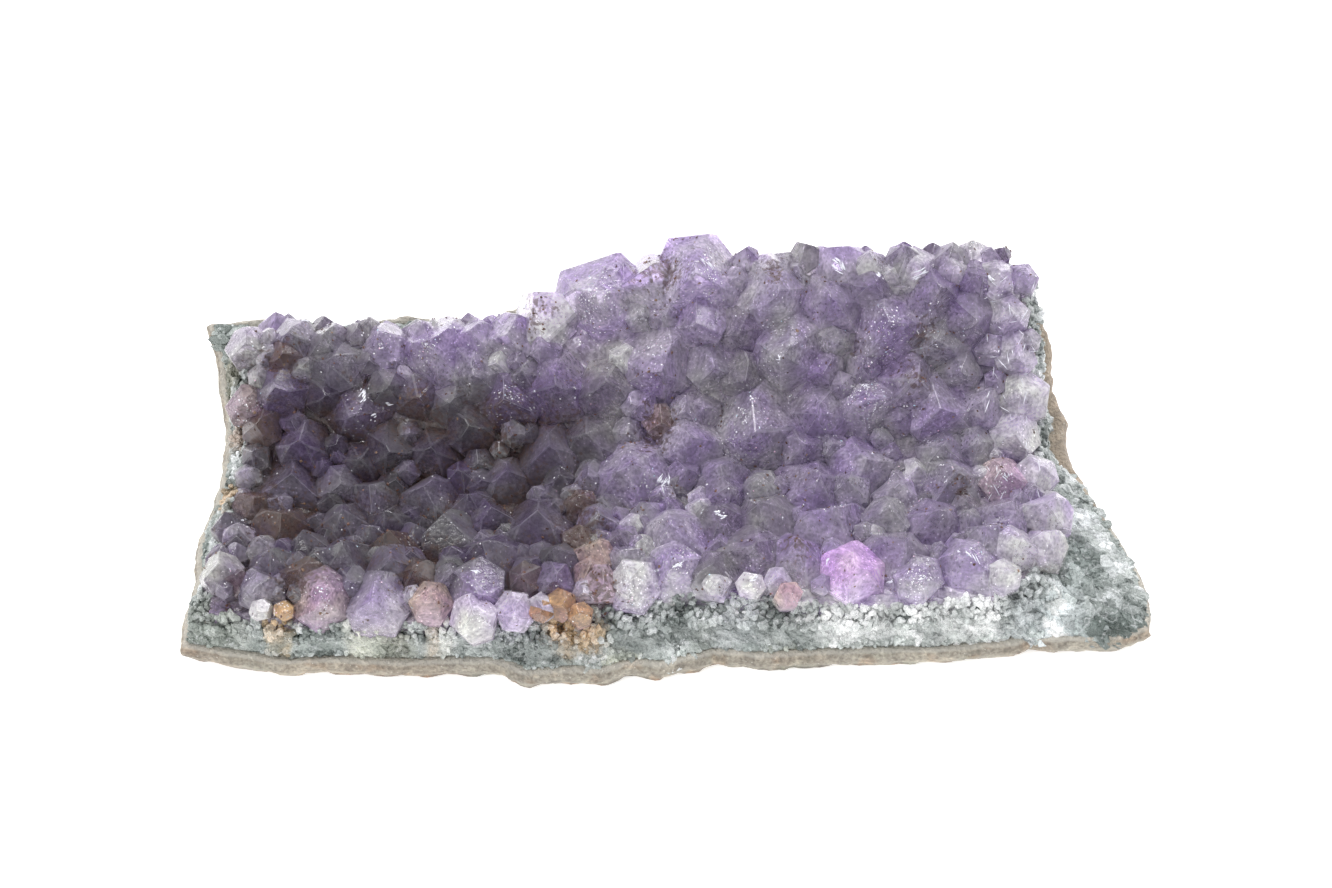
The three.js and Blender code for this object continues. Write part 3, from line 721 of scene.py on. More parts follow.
def foot_grains(rng):
    """Blocks about the feet of the outermost crystals."""
    found = []
    for _ in range(FOOT_GRAINS):
        i = rng.integers(len(outer))
        reach = 1.0 + 1.4 * ramp(-outer[i][1], 18.0, 24.0)
        past = rng.uniform(-reach, 0.9)
        rise = 1.9 * (1.0 + min(past, 0.0) / reach) ** 1.5
        plan = outer[i] + way_in(i) * max(rim_width[i] + past, 1.5 / slant[i] + bare_skin[i])
        found.append(block_at(plan, quartz_top(*plan) + rise * rng.random() ** 1.3, rng))
    return found


def wall_grains(layer, rng):
    """Blocks up the bare wall of the crystals' bed, and bedded in the layer's steep sides."""
    found = []
    for _ in range(WALL_GRAINS):
        i = rng.integers(len(outer))
        plan = outer[i] + way_in(i) * (rim_width[i] + 0.75)
        low = quartz_top(*plan)
        rise = head_height(*plan) - BED_TOP - low
        found.append(block_at(plan, low + rise * rng.random() ** 1.3, rng))
    for spot, normal in zip(*surface_spots(layer.data, STEEP_GRAINS, rng)):
        if normal[2] < STEEP:
            size = rng.uniform(0.5, 1.2)
            sunk = spot - normal * size * rng.uniform(0.0, 0.3)
            found.append((sunk[:2], sunk[2], size, 1.2, rng.normal(size=3)))
    return found


def grain_piece(name, found, shapes, rng):
    """One mesh of small blocks, each turned and toned its own way."""
    vertices, faces, places, tones = [], [], [], []
    first = 0
    for plan, height, size, stretch, lie in found:
        corners, shape_faces = shapes[rng.integers(len(shapes))]
        leaned = Vector(lie).normalized() + Vector(rng.normal(size=3)) * 0.22
        spin = Matrix.Rotation(rng.uniform(0, math.tau), 3, "Z")
        turn = np.array(leaned.to_track_quat("Z", "Y").to_matrix() @ spin)
        stretched = corners * (0.85, 0.85, stretch * rng.uniform(0.8, 1.25))
        vertices.append(stretched @ turn.T * size + (plan[0], plan[1], height))
        faces += [tuple(first + v for v in face) for face in shape_faces]
        first += len(corners)
        places += [plan] * len(corners)
        tones += [quartz_tone(plan, rng)] * len(corners)
    piece = mesh_object(name, to_frame(np.vstack(vertices)), faces)
    places = np.array(places)
    paint_vertices(piece.data, quartz_tint(*places.T, tones))
    return piece


def build_grains(layer):
    """The broken face of the quartz: thousands of small blocks and splinters, in one mesh for each kind."""
    rng = np.random.default_rng(23)
    shapes = [block_shape(rng) for _ in range(BLOCK_SHAPES)]
    kinds = {
        "quartz_rim_grains": rim_grains(rng, GRAINS),
        "quartz_splinters": rim_grains(rng, SHARDS, splinters=True),
        "quartz_foot_grains": foot_grains(rng),
        "quartz_wall_grains": wall_grains(layer, rng),
    }
    return [grain_piece(name, found, shapes, rng) for name, found in kinds.items()]


def surface_spots(mesh, count, rng, wanted=lambda spots: np.ones(len(spots))):
    """Places and normals on a mesh, in millimetres on the plan, picked by area where wanted says so."""
    mesh.calc_loop_triangles()
    triangles = np.zeros(len(mesh.loop_triangles) * 3, np.int32)
    mesh.loop_triangles.foreach_get("vertices", triangles)
    corners = plan_of(mesh)[triangles].reshape(-1, 3, 3)
    across = np.cross(corners[:, 1] - corners[:, 0], corners[:, 2] - corners[:, 0])
    doubled = np.linalg.norm(across, axis=1)
    weight = doubled * (across[:, 2] > -0.1 * doubled)
    chosen = rng.choice(len(weight), count * 6, p=weight / weight.sum())
    u, v = rng.random((2, len(chosen), 1))
    flip = u + v > 1
    u, v = np.where(flip, 1 - u, u), np.where(flip, 1 - v, v)
    origin = corners[chosen, 0]
    spots = origin + u * (corners[chosen, 1] - origin) + v * (corners[chosen, 2] - origin)
    normals = across[chosen] / doubled[chosen, None]
    kept = np.flatnonzero(wanted(spots) > rng.random(len(spots)))[:count]
    return spots[kept], normals[kept]


def flake_piece(name, spots, normals, sizes, thickness, lean, tones, rng):
    """Tiny four-sided flakes lying in a surface, each with one of the tones, which are chance and colour."""
    chances, colours = zip(*tones)
    picked = np.array(colours)[rng.choice(len(colours), len(spots), p=chances)]
    tilted = normals + lean * rng.normal(size=normals.shape)
    tilted /= np.linalg.norm(tilted, axis=1, keepdims=True)
    first = np.cross(tilted, rng.normal(size=normals.shape))
    first /= np.linalg.norm(first, axis=1, keepdims=True)
    second = np.cross(tilted, first)
    size = sizes[:, None]
    narrow = size * rng.uniform(0.4, 1.0, size.shape)
    half = tilted * size * thickness
    rim = [first * size, second * narrow, -first * size * 0.8, -second * narrow]
    corners = np.stack([spots + arm for arm in rim] + [spots + half, spots - half], axis=1)
    shape = [(0, 1, 4), (1, 2, 4), (2, 3, 4), (3, 0, 4), (1, 0, 5), (2, 1, 5), (3, 2, 5), (0, 3, 5)]
    faces = [tuple(6 * k + v for v in face) for k in range(len(spots)) for face in shape]
    piece = mesh_object(name, to_frame(corners.reshape(-1, 3)), faces)
    paint_vertices(piece.data, np.repeat(picked, 6, axis=0))
    return piece


def near_sparkles(spots):
    """How much a place glitters: all of it in the named patches, a little elsewhere in cloudy ones."""
    cloud = roughness(spots, 2.6, 1.0, 2, 21.0)
    glitter = 0.012 + 0.3 * ramp(cloud, 0.2, 0.5)
    x, y = spots[:, :2].T
    for patch in SPARKLES:
        glitter = np.maximum(glitter, near(x, y, patch, 0.4))
    return glitter * (1.0 - 0.7 * shadow_of_bowl(x, y))


def build_glitter(crust):
    """Bright flakes where broken veils come to the crystals' faces: their white is partly a painted glint,
    and a few of them carry painted pink and blue tinges of the light.
    """
    rng = np.random.default_rng(31)
    spots, normals = surface_spots(crust.data, GLITTER, rng, near_sparkles)
    sizes = rng.uniform(0.06, 0.17, len(spots))
    # White and pale flakes stand partly for glints; the pink and blue ones are painted rainbow glints.
    tones = [
        (0.66, (0.97, 0.97, 1.0)), (0.24, (0.85, 0.86, 0.95)),
        (0.06, (0.98, 0.66, 0.86)), (0.04, (0.62, 0.86, 1.0)),
    ]
    return flake_piece("veil_glitter", spots, normals, sizes, 0.2, 0.35, tones, rng)


# Places on the plan where iron oxide gathers: x, y and radius.
IRON = [
    (29.5, 7.3, 1.8), (31.2, 6.8, 1.2), (-8, 5.5, 1.6), (11.8, 11.2, 1.4), (14.3, -17, 1.6),
    (32.7, -8, 1.2), (-42.8, -11, 3.6), (-39.8, -20.8, 3.2), (-43.6, 6.8, 2.4), (-9.6, -14, 3.4),
    (-9.8, -8.6, 2.6), (-1, 0, 2.4), (-46, -7, 2.6), (-30, -14.6, 3), (-27.4, -20.6, 2.6),
    (22, 7.6, 1.2), (-19, 0.4, 2.6), (-28, 3, 2.4), (-7, -22, 2.6), (-45.8, 0.6, 2.4), (0.2, 13.5, 3.0),
    (-2.2, 14, 2.4), (12.7, 13.4, 2.0), (28.6, 2.5, 1.2), (-14.6, 10.4, 2.0),
]


def iron_patches(spots):
    """How much iron oxide a place carries: the named patches, the bowl's deep gaps, and a thin dust."""
    x, y = spots[:, :2].T
    cloud = roughness(spots, 3.0, 1.0, 3, 22.0)
    deep = ramp(head_height(x, y) - spots[:, 2], 0.0, 2.6)
    share = ramp(cloud, 0.22, 0.42) * (0.25 + 0.6 * shadow_of_bowl(x, y) * deep) + 0.024
    for patch in IRON:
        share = np.maximum(share, 0.8 * near(x, y, patch, 0.3) * ramp(cloud, -0.15, 0.15))
    return share


def rust_at(place):
    """How rusty the crystals are: in the named patches and round them, and in the bowl's deep gaps."""
    x, y = place[:, :2].T
    rust = 0.62 * ramp(head_height(x, y) - place[:, 2], 0.0, 3.0) * shadow_of_bowl(x, y)
    for px, py, radius in IRON:
        rust = np.maximum(rust, 0.8 * near(x, y, (px, py, 1.5 * radius), 0.0))
    return rust


def build_iron_specks(crust):
    """Red-brown iron oxide grains on the crystals."""
    rng = np.random.default_rng(37)
    spots, normals = surface_spots(crust.data, IRON_SPECKS, rng, iron_patches)
    sizes = 0.06 + 0.26 * rng.random(len(spots)) ** 2.5
    tones = [(0.45, (0.09, 0.045, 0.035)), (0.4, (0.15, 0.075, 0.055)), (0.15, (0.21, 0.13, 0.085))]
    return flake_piece("iron_specks", spots, normals, sizes, 0.35, 0.5, tones, rng)


# Painted flashes: pale patches on the crystals' faces, standing in for white flashes of light off broken
# faces:
# x and y on the plan, length, width, and the way that the length runs, in degrees from +X.
FLASHES = [
    (-0.4, -7.6, 3.2, 0.8, 86), (0.3, -7.2, 2.0, 0.3, 80), (1.4, -19.6, 1.7, 0.6, 30),
    (6.2, -12.3, 1.5, 1.2, 10), (33.2, -18.4, 2.6, 0.35, -48), (31.8, -17.6, 1.6, 0.3, -60),
    (19.6, 13.4, 2.6, 0.9, -52), (28.3, 12.7, 3.0, 0.9, 28), (36.5, 12.4, 1.8, 0.4, -40),
    (-20.6, -20.6, 2.2, 0.6, -12), (-34.4, 3.4, 1.8, 1.0, 70), (-33.2, 1.6, 1.3, 0.6, 40),
    (-31.5, 2.6, 1.2, 0.35, 20), (-1.2, -20.6, 1.4, 0.5, 20), (9.6, -21.6, 1.6, 0.4, 25),
    (17.6, -19.2, 1.4, 0.3, 64), (24.4, -22.2, 1.6, 0.3, 30), (-41, 12, 1.4, 0.3, 10),
    (-47.2, -11, 1.2, 0.3, 60), (-16, 12.4, 1.6, 0.5, 40), (4.4, 14, 2.4, 0.3, -30),
    (12.6, 5, 1.3, 0.3, 70), (22.4, 2.6, 1.3, 0.5, 20), (27.6, -21.4, 1.2, 0.6, 50),
    (37.8, -7, 1.6, 0.3, -70), (24, 12.6, 1.4, 0.4, -40),
]
# Painted flash streaks in a strip on the right: how many and where; then the pale colour of all the painted
# flashes.
FLASH_STREAKS = 44
FLASH_STREAK_STRIP = ((36, 42), (-10, 15))  # from and to, in x and in y
PAINTED_FLASH_TONE = (0.88, 0.89, 0.97)


def painted_flashes(rng):
    """Each painted flash as its place on the plan, length, width and heading: bundles, and a strip of thin
    streaks on the right.
    """
    found = []
    for x, y, length, width, heading in FLASHES:
        turn = math.radians(heading)
        along = np.array([math.cos(turn), math.sin(turn)])
        across = np.array([-math.sin(turn), math.cos(turn)])
        for _ in range(3 + int(7 * width)):
            spot = np.array([x, y]) + along * length * rng.normal(0, 0.16)
            spot = spot + across * width * rng.uniform(-0.5, 0.5)
            own_length = length * rng.uniform(0.15, 0.6)
            found.append((*spot, own_length, rng.uniform(0.05, 0.16) + 0.1 * width, rng.normal(heading, 7)))
    for _ in range(FLASH_STREAKS):
        spot = [rng.uniform(*span) for span in FLASH_STREAK_STRIP]
        found.append((*spot, rng.uniform(0.5, 2.2), rng.uniform(0.05, 0.14), rng.normal(95, 14)))
    return found


def build_flashes(crust):
    """Thin pale patches lying on the crystals' faces, painted flashes of light off broken faces, placed as
    seen from the middle of the hollow.
    """
    rng = np.random.default_rng(43)
    entries = painted_flashes(rng)
    places = [crust.matrix_world @ v.co for v in crust.data.vertices]
    tree = BVHTree.FromPolygons(places, [list(p.vertices) for p in crust.data.polygons])
    corners, faces = [], []
    for x, y, length, width, heading in entries:
        start = np.array([x, y, head_height(x, y)]) + CAVITY * 15.0
        hit, normal, _, _ = tree.ray_cast(Vector(to_frame(start)), Vector(-CAVITY))
        if hit is None:
            continue
        normal = np.array(normal)
        along = np.array([math.cos(math.radians(heading)), math.sin(math.radians(heading)), 0.0])
        along -= normal * (along @ normal)
        along /= np.linalg.norm(along)
        across = np.cross(normal, along)
        middle = np.array(hit) / MM - PLAN_OFFSET + normal * 0.02
        bend = rng.uniform(-0.25, 0.25)
        rim = [(-0.5, 0.0), (-0.1 + bend, -0.5), (0.5, -0.1), (0.2 + bend, 0.45), (-0.3, 0.4)]
        first = len(corners)
        corners += [middle + along * a * length + across * b * width for a, b in rim]
        corners += [middle + normal * 0.07, middle - normal * 0.1]
        for k in range(5):
            j = (k + 1) % 5
            faces += [(first + k, first + j, first + 5), (first + j, first + k, first + 6)]
    piece = mesh_object("painted_flashes", to_frame(corners), faces)
    # The painted glint colour on every flash.
    paint_vertices(piece.data, np.tile(PAINTED_FLASH_TONE, (len(corners), 1)))
    return piece


def face_layers(mesh, crystal, worn, mark):
    """Notes on each face: the crystal that it belongs to, 1 on a worn edge, and a number of its own."""
    for name, values in (("crystal", np.full(len(mark), crystal)), ("worn", worn), ("face_mark", mark)):
        note(mesh, name, "FACE", values)


def build_crust():
    """All the crystals and their bed in one closed body, with each face's tone, frost and worn edge."""
    rng = np.random.default_rng(11)
    entries = [(x, y, w, tone, 0.0) for tone, places in CRYSTALS.items() for x, y, w in places]
    placed = np.array([entry[:3] for entry in entries])
    local = ["lavender", "grey", "violet", "pale", "smoky"]
    for x, y, w in filler_places(placed, rng):
        entries.append((x, y, w, local[rng.integers(len(local))], rng.uniform(0.1, 1.2)))
    bed = build_bed()
    plain = np.zeros(len(bed.data.polygons))
    face_layers(bed.data, 0, plain, plain)
    tools = bpy.data.collections.new("crystal_points")
    for index, (x, y, width, tone, drop) in enumerate(entries):
        front = ramp(-y, *FRONT_ROW)
        corners, faces, worn = crystal_body(width, between(GROWN_IN, front), ROOT_DEPTH - drop, rng)
        lean_x, lean_y = np.radians(rng.uniform(-9, 9, 2))
        pull = between(CAVITY_PULL, front)
        turn = turned_to(crust_normal(x, y) * (1 - pull) + CAVITY * pull, lean_x, lean_y)
        centre = np.array([x, y, head_height(x, y) - drop])
        mesh = bpy.data.meshes.new("point")
        mesh.from_pydata([tuple(v) for v in to_frame(corners @ turn.T + centre)], [], faces)
        face_layers(mesh, index + 1, worn, rng.random(len(faces)))
        tools.objects.link(bpy.data.objects.new("point", mesh))
    union = bed.modifiers.new("union", "BOOLEAN")
    union.operation = "UNION"
    union.operand_type = "COLLECTION"
    union.collection = tools
    union.solver = "MANIFOLD"
    fused = bpy.data.meshes.new_from_object(bed.evaluated_get(bpy.context.evaluated_depsgraph_get()))
    fused.name = "amethyst_crust"
    for thing in list(tools.objects):
        bpy.data.objects.remove(thing)
    bpy.data.collections.remove(tools)
    bpy.data.objects.remove(bed)
    crust = bpy.data.objects.new("amethyst_crust", fused)
    bpy.context.scene.collection.objects.link(crust)
    colour_crust(fused, entries, rng)
    return crust


def read_faces(mesh, name):
    values = np.zeros(len(mesh.polygons), np.float32)
    mesh.attributes[name].data.foreach_get("value", values)
    return values


# The colours painted into the gaps between the crystals, more of them the deeper a corner lies: over the
# bowl a dark brown painted shade; elsewhere the grey lilac of the roots, lightened as a painted light
# against the shade that falls there; at the front on the right, the pale colourless bases of the points.
GAP_SHADE_AND_ROOT_TONES = {"bowl": (0.10, 0.065, 0.06), "bank": (0.58, 0.54, 0.61), "front": (0.92, 0.92, 0.98)}
BED_TONE = (0.4, 0.38, 0.42)
# How much painted shade darkens the crystals' tint over the hollow on the left.
BOWL_SHADE = 0.6
FROSTED = 0.62  # the share of faces with no more than a little frost


def colour_crust(mesh, entries, rng):
    """Gives each face corner its tint, and each face its frost, from the crystal that it belongs to; the
    tint also carries painted shade over the bowl and down in the gaps.
    """
    faces = len(mesh.polygons)
    crystal = np.rint(read_faces(mesh, "crystal")).astype(int)
    worn, mark = read_faces(mesh, "worn"), read_faces(mesh, "face_mark")
    tones = np.array([BED_TONE] + [TONES[entry[3]] for entry in entries])
    tones = tones * rng.uniform(0.9, 1.1, (len(tones), 1))
    corner_face = np.repeat(np.arange(faces), [p.loop_total for p in mesh.polygons])
    place = plan_of(mesh)[corner_vertices(mesh)]
    x, y = place[:, :2].T
    tint = tones[crystal[corner_face]]
    depth = ramp(head_height(x, y) - place[:, 2], 0.5, 3.6)
    bowl = shadow_of_bowl(x, y)[:, None]
    # Painted shade: the tint is darkened over the hollow on the left; the listed duller patches darken it
    # too.
    tint = tint * (1.0 - BOWL_SHADE * bowl) * dimming(x, y)[:, None]
    note(mesh, "rust", "CORNER", rust_at(place))
    # Painted shade in the gaps, deeper toward the roots: dark over the bowl, a lightened grey lilac
    # elsewhere, and the pale bases at the front on the right.
    gap_shade_and_root = np.array(GAP_SHADE_AND_ROOT_TONES["bowl"]) * bowl + np.array(GAP_SHADE_AND_ROOT_TONES["bank"]) * (1 - bowl)
    front = (ramp(-y, 17.5, 23.0) * ramp(x, -24.0, 4.0))[:, None]
    gap_shade_and_root = gap_shade_and_root + (np.array(GAP_SHADE_AND_ROOT_TONES["front"]) - gap_shade_and_root) * front
    most = np.maximum(0.6 + 0.2 * bowl, 0.95 * front)
    paint_corners(mesh, tint + (gap_shade_and_root - tint) * (most * depth[:, None]))
    centres = np.zeros(faces * 3)
    mesh.polygons.foreach_get("center", centres)
    centres = centres.reshape(-1, 3) / MM - PLAN_OFFSET
    # Faces near the sparkle places, which the material paints with white glints.
    sparkle = np.zeros(faces)
    for patch in SPARKLES:
        sparkle = np.maximum(sparkle, (near(*centres[:, :2].T, patch, 0.4) > 0) & (worn < 0.5))
    note(mesh, "sparkle", "FACE", sparkle)
    strong = 0.2 + 0.35 * (mark - FROSTED) / (1.0 - FROSTED)
    note(mesh, "frost", "FACE", np.where(mark > FROSTED, strong, 0.03 + 0.12 * mark))
    mesh.polygons.foreach_set("use_smooth", np.zeros(faces, bool))
    for name in ("crystal", "face_mark"):
        mesh.attributes.remove(mesh.attributes[name])


# Places on the plan where the crystals are duller: x, y, radius and how much of their tone is left. The one
# at the left front deepens the painted shade over the bowl.
DULL = [
    (29.0, 10.0, 13.0, 0.76), (10.0, -2.0, 16.0, 0.87), (26.0, -8.0, 14.0, 0.9), (-30.0, -17.0, 9.0, 0.9),
]


def dimming(x, y):
    left = np.ones_like(x)
    for *patch, least in DULL:
        left = np.minimum(left, 1.0 - (1.0 - least) * near(x, y, patch, 0.4))
    return left


def shadow_of_bowl(x, y):
    """How much painted shade darkens the crystals over the low hollow on the left, and none of the front lip
    or the crest; the same mask also sets where iron specks and rust gather there.
    """
    along = ramp(-x, 2.0, 16.0) * (1.0 - 0.35 * ramp(-x, 40.0, 50.0))
    top = 5.0 * ramp(-x, 31.0, 38.0)
    across = ramp(y, -25.5, -20.0) * (1.0 - ramp(y - top, 1.0, 9.0))
    return np.clip(along * across, 0.0, 1.0)


def material(name):
    """An empty material: itself, its nodes and its shader."""
    made = bpy.data.materials.new(name)
    made.use_nodes = True
    tree = made.node_tree
    tree.nodes.clear()
    shader = add(tree, "ShaderNodeBsdfPrincipled")
    tree.links.new(shader.outputs["BSDF"], add(tree, "ShaderNodeOutputMaterial").inputs["Surface"])
    return made, tree, shader


def feed(tree, socket, value):
    """Gives an input another node's output, or a value of its own."""
    if isinstance(value, bpy.types.NodeSocket):
        tree.links.new(value, socket)
    else:
        socket.default_value = value


def add(tree, kind, **values):
    """A node with some of its settings or inputs given, an input by its name or by _ and its number."""
    made = tree.nodes.new(kind)
    for key, value in values.items():
        if hasattr(made, key):
            setattr(made, key, value)
        else:
            socket = int(key[1:]) if key[0] == "_" else key.replace("_", " ")
            feed(tree, made.inputs[socket], value)
    return made


def calculate(tree, operation, first, second=0.0, clamp=False):
    return add(tree, "ShaderNodeMath", operation=operation, use_clamp=clamp, _0=first, _1=second).outputs[0]


def share_of(tree, mask, share):
    return calculate(tree, "MULTIPLY", mask, share)


def window(tree, value, low, high):
    """0 below low, 1 above high, of a value that changes over the surface."""
    made = add(tree, "ShaderNodeMapRange", interpolation_type="SMOOTHSTEP", _0=value, _1=low, _2=high)
    return made.outputs[0]


def blend(tree, factor, first, second, **settings):
    """A colour between two, each an output or three numbers."""
    made = add(tree, "ShaderNodeMix", data_type="RGBA", **settings)
    for name, value in (("Factor", factor), ("A", first), ("B", second)):
        socket = next(s for s in made.inputs if s.name == name and s.enabled)
        feed(tree, socket, (*value, 1.0) if isinstance(value, tuple) else value)
    return next(s for s in made.outputs if s.enabled)


def tinted(tree, colour, mask, low, high):
    """A colour multiplied by one that goes from low to high with a mask."""
    return blend(tree, 1.0, colour, blend(tree, mask, low, high), blend_type="MULTIPLY", clamp_result=False)


def layered(tree, tints, coats):
    """The mesh's own tint multiplied by each mask's colours, then coated with a colour through each mask."""
    colour = noted(tree, "tint", "Color")
    for mask, low, high in tints:
        colour = tinted(tree, colour, mask, low, high)
    for mask, share, coat in coats:
        colour = blend(tree, share_of(tree, mask, share), colour, coat)
    return colour


def noted(tree, name, output="Fac"):
    """The values that the mesh keeps under a name."""
    return add(tree, "ShaderNodeAttribute", attribute_name=name).outputs[output]


def group(name, inputs):
    """A node group that puts out one mask; its inputs are numbers, sizes in millimetres."""
    tree = bpy.data.node_groups.new(name, "ShaderNodeTree")
    for label, value in inputs.items():
        socket = tree.interface.new_socket(label, in_out="INPUT", socket_type="NodeSocketFloat")
        socket.default_value = value
    tree.interface.new_socket("Mask", in_out="OUTPUT", socket_type="NodeSocketFloat")
    given = add(tree, "NodeGroupInput").outputs
    place = add(tree, "ShaderNodeTexCoord").outputs["Object"]
    return tree, given, place, add(tree, "NodeGroupOutput").inputs["Mask"]


def noise_at(tree, place, size, **more):
    """Noise of a size in millimetres, about 0.5."""
    scale = calculate(tree, "DIVIDE", 1000.0, size)
    return add(tree, "ShaderNodeTexNoise", Vector=place, Scale=scale, **more).outputs[0]


def clouds_group():
    """Soft patches: 0 to 1, about half."""
    tree, given, place, mask = group("mineral_clouds", {"Size": 3.0, "Contrast": 1.0, "Detail": 4.0})
    centred = calculate(tree, "SUBTRACT", noise_at(tree, place, given["Size"], Detail=given["Detail"]), 0.5)
    spread = calculate(tree, "MULTIPLY", centred, given["Contrast"])
    tree.links.new(calculate(tree, "ADD", spread, 0.5, clamp=True), mask)
    return tree


def flecks_group():
    """Small crisp specks gathered in patches."""
    sizes = {"Size": 0.25, "Amount": 0.1, "Patch Size": 4.0, "Patch Edge": 0.55}
    tree, given, place, mask = group("mineral_flecks", sizes)
    scale = calculate(tree, "DIVIDE", 1000.0, given["Size"])
    cells = add(tree, "ShaderNodeTexVoronoi", distance="MANHATTAN", Vector=place, Scale=scale)
    chance = add(tree, "ShaderNodeSeparateColor", _0=cells.outputs["Color"]).outputs[0]
    chosen = calculate(tree, "LESS_THAN", chance, given["Amount"])
    inside = calculate(tree, "LESS_THAN", cells.outputs["Distance"], 0.42)
    patch = calculate(tree, "GREATER_THAN", noise_at(tree, place, given["Patch Size"]), given["Patch Edge"])
    tree.links.new(share_of(tree, share_of(tree, chosen, inside), patch), mask)
    return tree


def healed_cracks_group():
    """Thin wandering lines where cracks have grown together again."""
    sizes = {"Size": 3.0, "Width": 0.012, "Patch Size": 6.0, "Patch Edge": 0.52}
    tree, given, place, mask = group("healed_cracks", sizes)
    off = calculate(tree, "SUBTRACT", noise_at(tree, place, given["Size"], Detail=2.5), 0.5)
    away = calculate(tree, "DIVIDE", calculate(tree, "ABSOLUTE", off), given["Width"])
    thin = calculate(tree, "SUBTRACT", 1.0, away, clamp=True)
    edge = calculate(tree, "SUBTRACT", noise_at(tree, place, given["Patch Size"]), given["Patch Edge"])
    tree.links.new(share_of(tree, thin, calculate(tree, "MULTIPLY", edge, 12.0, clamp=True)), mask)
    return tree


def place_group(tree, shared, **values):
    return add(tree, "ShaderNodeGroup", node_tree=shared, **values).outputs["Mask"]


def roughen(tree, shader, height, distance):
    bump = add(tree, "ShaderNodeBump", Strength=1.0, Distance=distance * MM, Height=height)
    tree.links.new(bump.outputs["Normal"], shader.inputs["Normal"])


def feed_shader(tree, shader, colour, gloss_mask, spread, least):
    """Feeds a material's colour, and its roughness: the least plus the mask's share of the spread."""
    tree.links.new(colour, shader.inputs["Base Color"])
    rough = calculate(tree, "ADD", share_of(tree, gloss_mask, spread), least)
    tree.links.new(rough, shader.inputs["Roughness"])


def amethyst_material(clouds, flecks, cracks):
    made, tree, shader = material("hazy_amethyst")
    zones = place_group(tree, clouds, Size=4.6, Contrast=3.4, Detail=2.0)
    haze = place_group(tree, clouds, Size=1.5, Contrast=2.6, Detail=6.0)
    fine = place_group(tree, clouds, Size=0.38, Contrast=3.0, Detail=7.0)
    dust = place_group(tree, clouds, Size=0.55, Contrast=3.0, Detail=6.0)
    healed = place_group(tree, cracks, Size=4.0, Width=0.012, Patch_Size=4.6, Patch_Edge=0.49)
    # Painted glints: the next three fleck masks brighten specks in the colour and paint white patches on the
    # faces marked to sparkle.
    glints = place_group(tree, flecks, Size=0.36, Amount=0.26, Patch_Size=3.0, Patch_Edge=0.56)
    scattered_glints = place_group(tree, flecks, Size=0.26, Amount=0.09, Patch_Size=9.0, Patch_Edge=0.3)
    cluster = place_group(tree, flecks, Size=0.42, Amount=0.5, Patch_Size=1.2, Patch_Edge=0.44)
    bright = calculate(tree, "MAXIMUM", glints, scattered_glints)
    sparkling = share_of(tree, cluster, noted(tree, "sparkle"))
    rusty = window(tree, calculate(tree, "ADD", dust, noted(tree, "rust")), 0.92, 1.2)
    colour = layered(tree, [
        (zones, (1.14, 1.15, 1.07), (0.88, 0.74, 1.02)),
        (haze, (0.74, 0.72, 0.76), (1.34, 1.36, 1.30)),
        (fine, (0.66, 0.65, 0.68), (1.38, 1.38, 1.36)),
        (healed, (1.0, 1.0, 1.0), (1.5, 1.5, 1.5)),
        # painted glints: specks that double the colour
        (bright, (1.0, 1.0, 1.0), (2.1, 2.1, 2.1)),
    ], [
        # painted glints: white patches on the faces marked to sparkle
        (sparkling, 0.8, (1.0, 1.0, 1.0)),
        (rusty, 0.75, (0.17, 0.10, 0.08)),
        # A pale coat on the worn edge faces: partly frosted wear, partly a painted edge highlight.
        (noted(tree, "worn"), 0.07, (0.85, 0.84, 0.9)),
    ])
    feed_shader(tree, shader, colour, fine, 0.1, noted(tree, "frost"))
    relief = calculate(tree, "ADD", share_of(tree, fine, 0.25), share_of(tree, haze, 0.75))
    roughen(tree, shader, relief, 0.06)
    shader.inputs["IOR"].default_value = QUARTZ_IOR
    shader.inputs["Transmission Weight"].default_value = 0.6
    absorb = add(tree, "ShaderNodeVolumeAbsorption", Color=(0.74, 0.66, 0.9, 1), Density=36.0)
    tree.links.new(absorb.outputs["Volume"], tree.nodes["Material Output"].inputs["Volume"])
    return made


def quartz_material(clouds, flecks, cracks):
    made, tree, shader = material("granular_quartz")
    patchy = place_group(tree, clouds, Size=2.4, Contrast=3.4, Detail=4.0)
    fine = place_group(tree, clouds, Size=0.35, Contrast=2.6, Detail=5.0)
    icy = place_group(tree, flecks, Size=0.5, Amount=0.3, Patch_Size=2.4, Patch_Edge=0.48)
    healed = place_group(tree, cracks, Size=2.6, Width=0.02, Patch_Size=4.0, Patch_Edge=0.46)
    colour = layered(
        tree,
        [(patchy, (0.76, 0.79, 0.78), (1.3, 1.3, 1.3)), (fine, (0.80, 0.81, 0.81), (1.22, 1.22, 1.22))],
        [(icy, 0.55, (0.95, 0.97, 0.98)), (healed, 0.55, (0.92, 0.94, 0.96))],
    )
    feed_shader(tree, shader, colour, fine, 0.35, 0.12)
    roughen(tree, shader, fine, 0.12)
    shader.inputs["IOR"].default_value = QUARTZ_IOR
    shader.inputs["Transmission Weight"].default_value = 0.3
    return made


def flake_material(name, clouds, least_roughness, specular):
    """Glossy flakes that take their tone from the mesh."""
    made, tree, shader = material(name)
    fine = place_group(tree, clouds, Size=0.3, Contrast=2.0, Detail=3.0)
    colour = layered(tree, [(fine, (0.8, 0.8, 0.8), (1.1, 1.1, 1.1))], [])
    feed_shader(tree, shader, colour, fine, 0.2, least_roughness)
    shader.inputs["Specular IOR Level"].default_value = specular
    return made


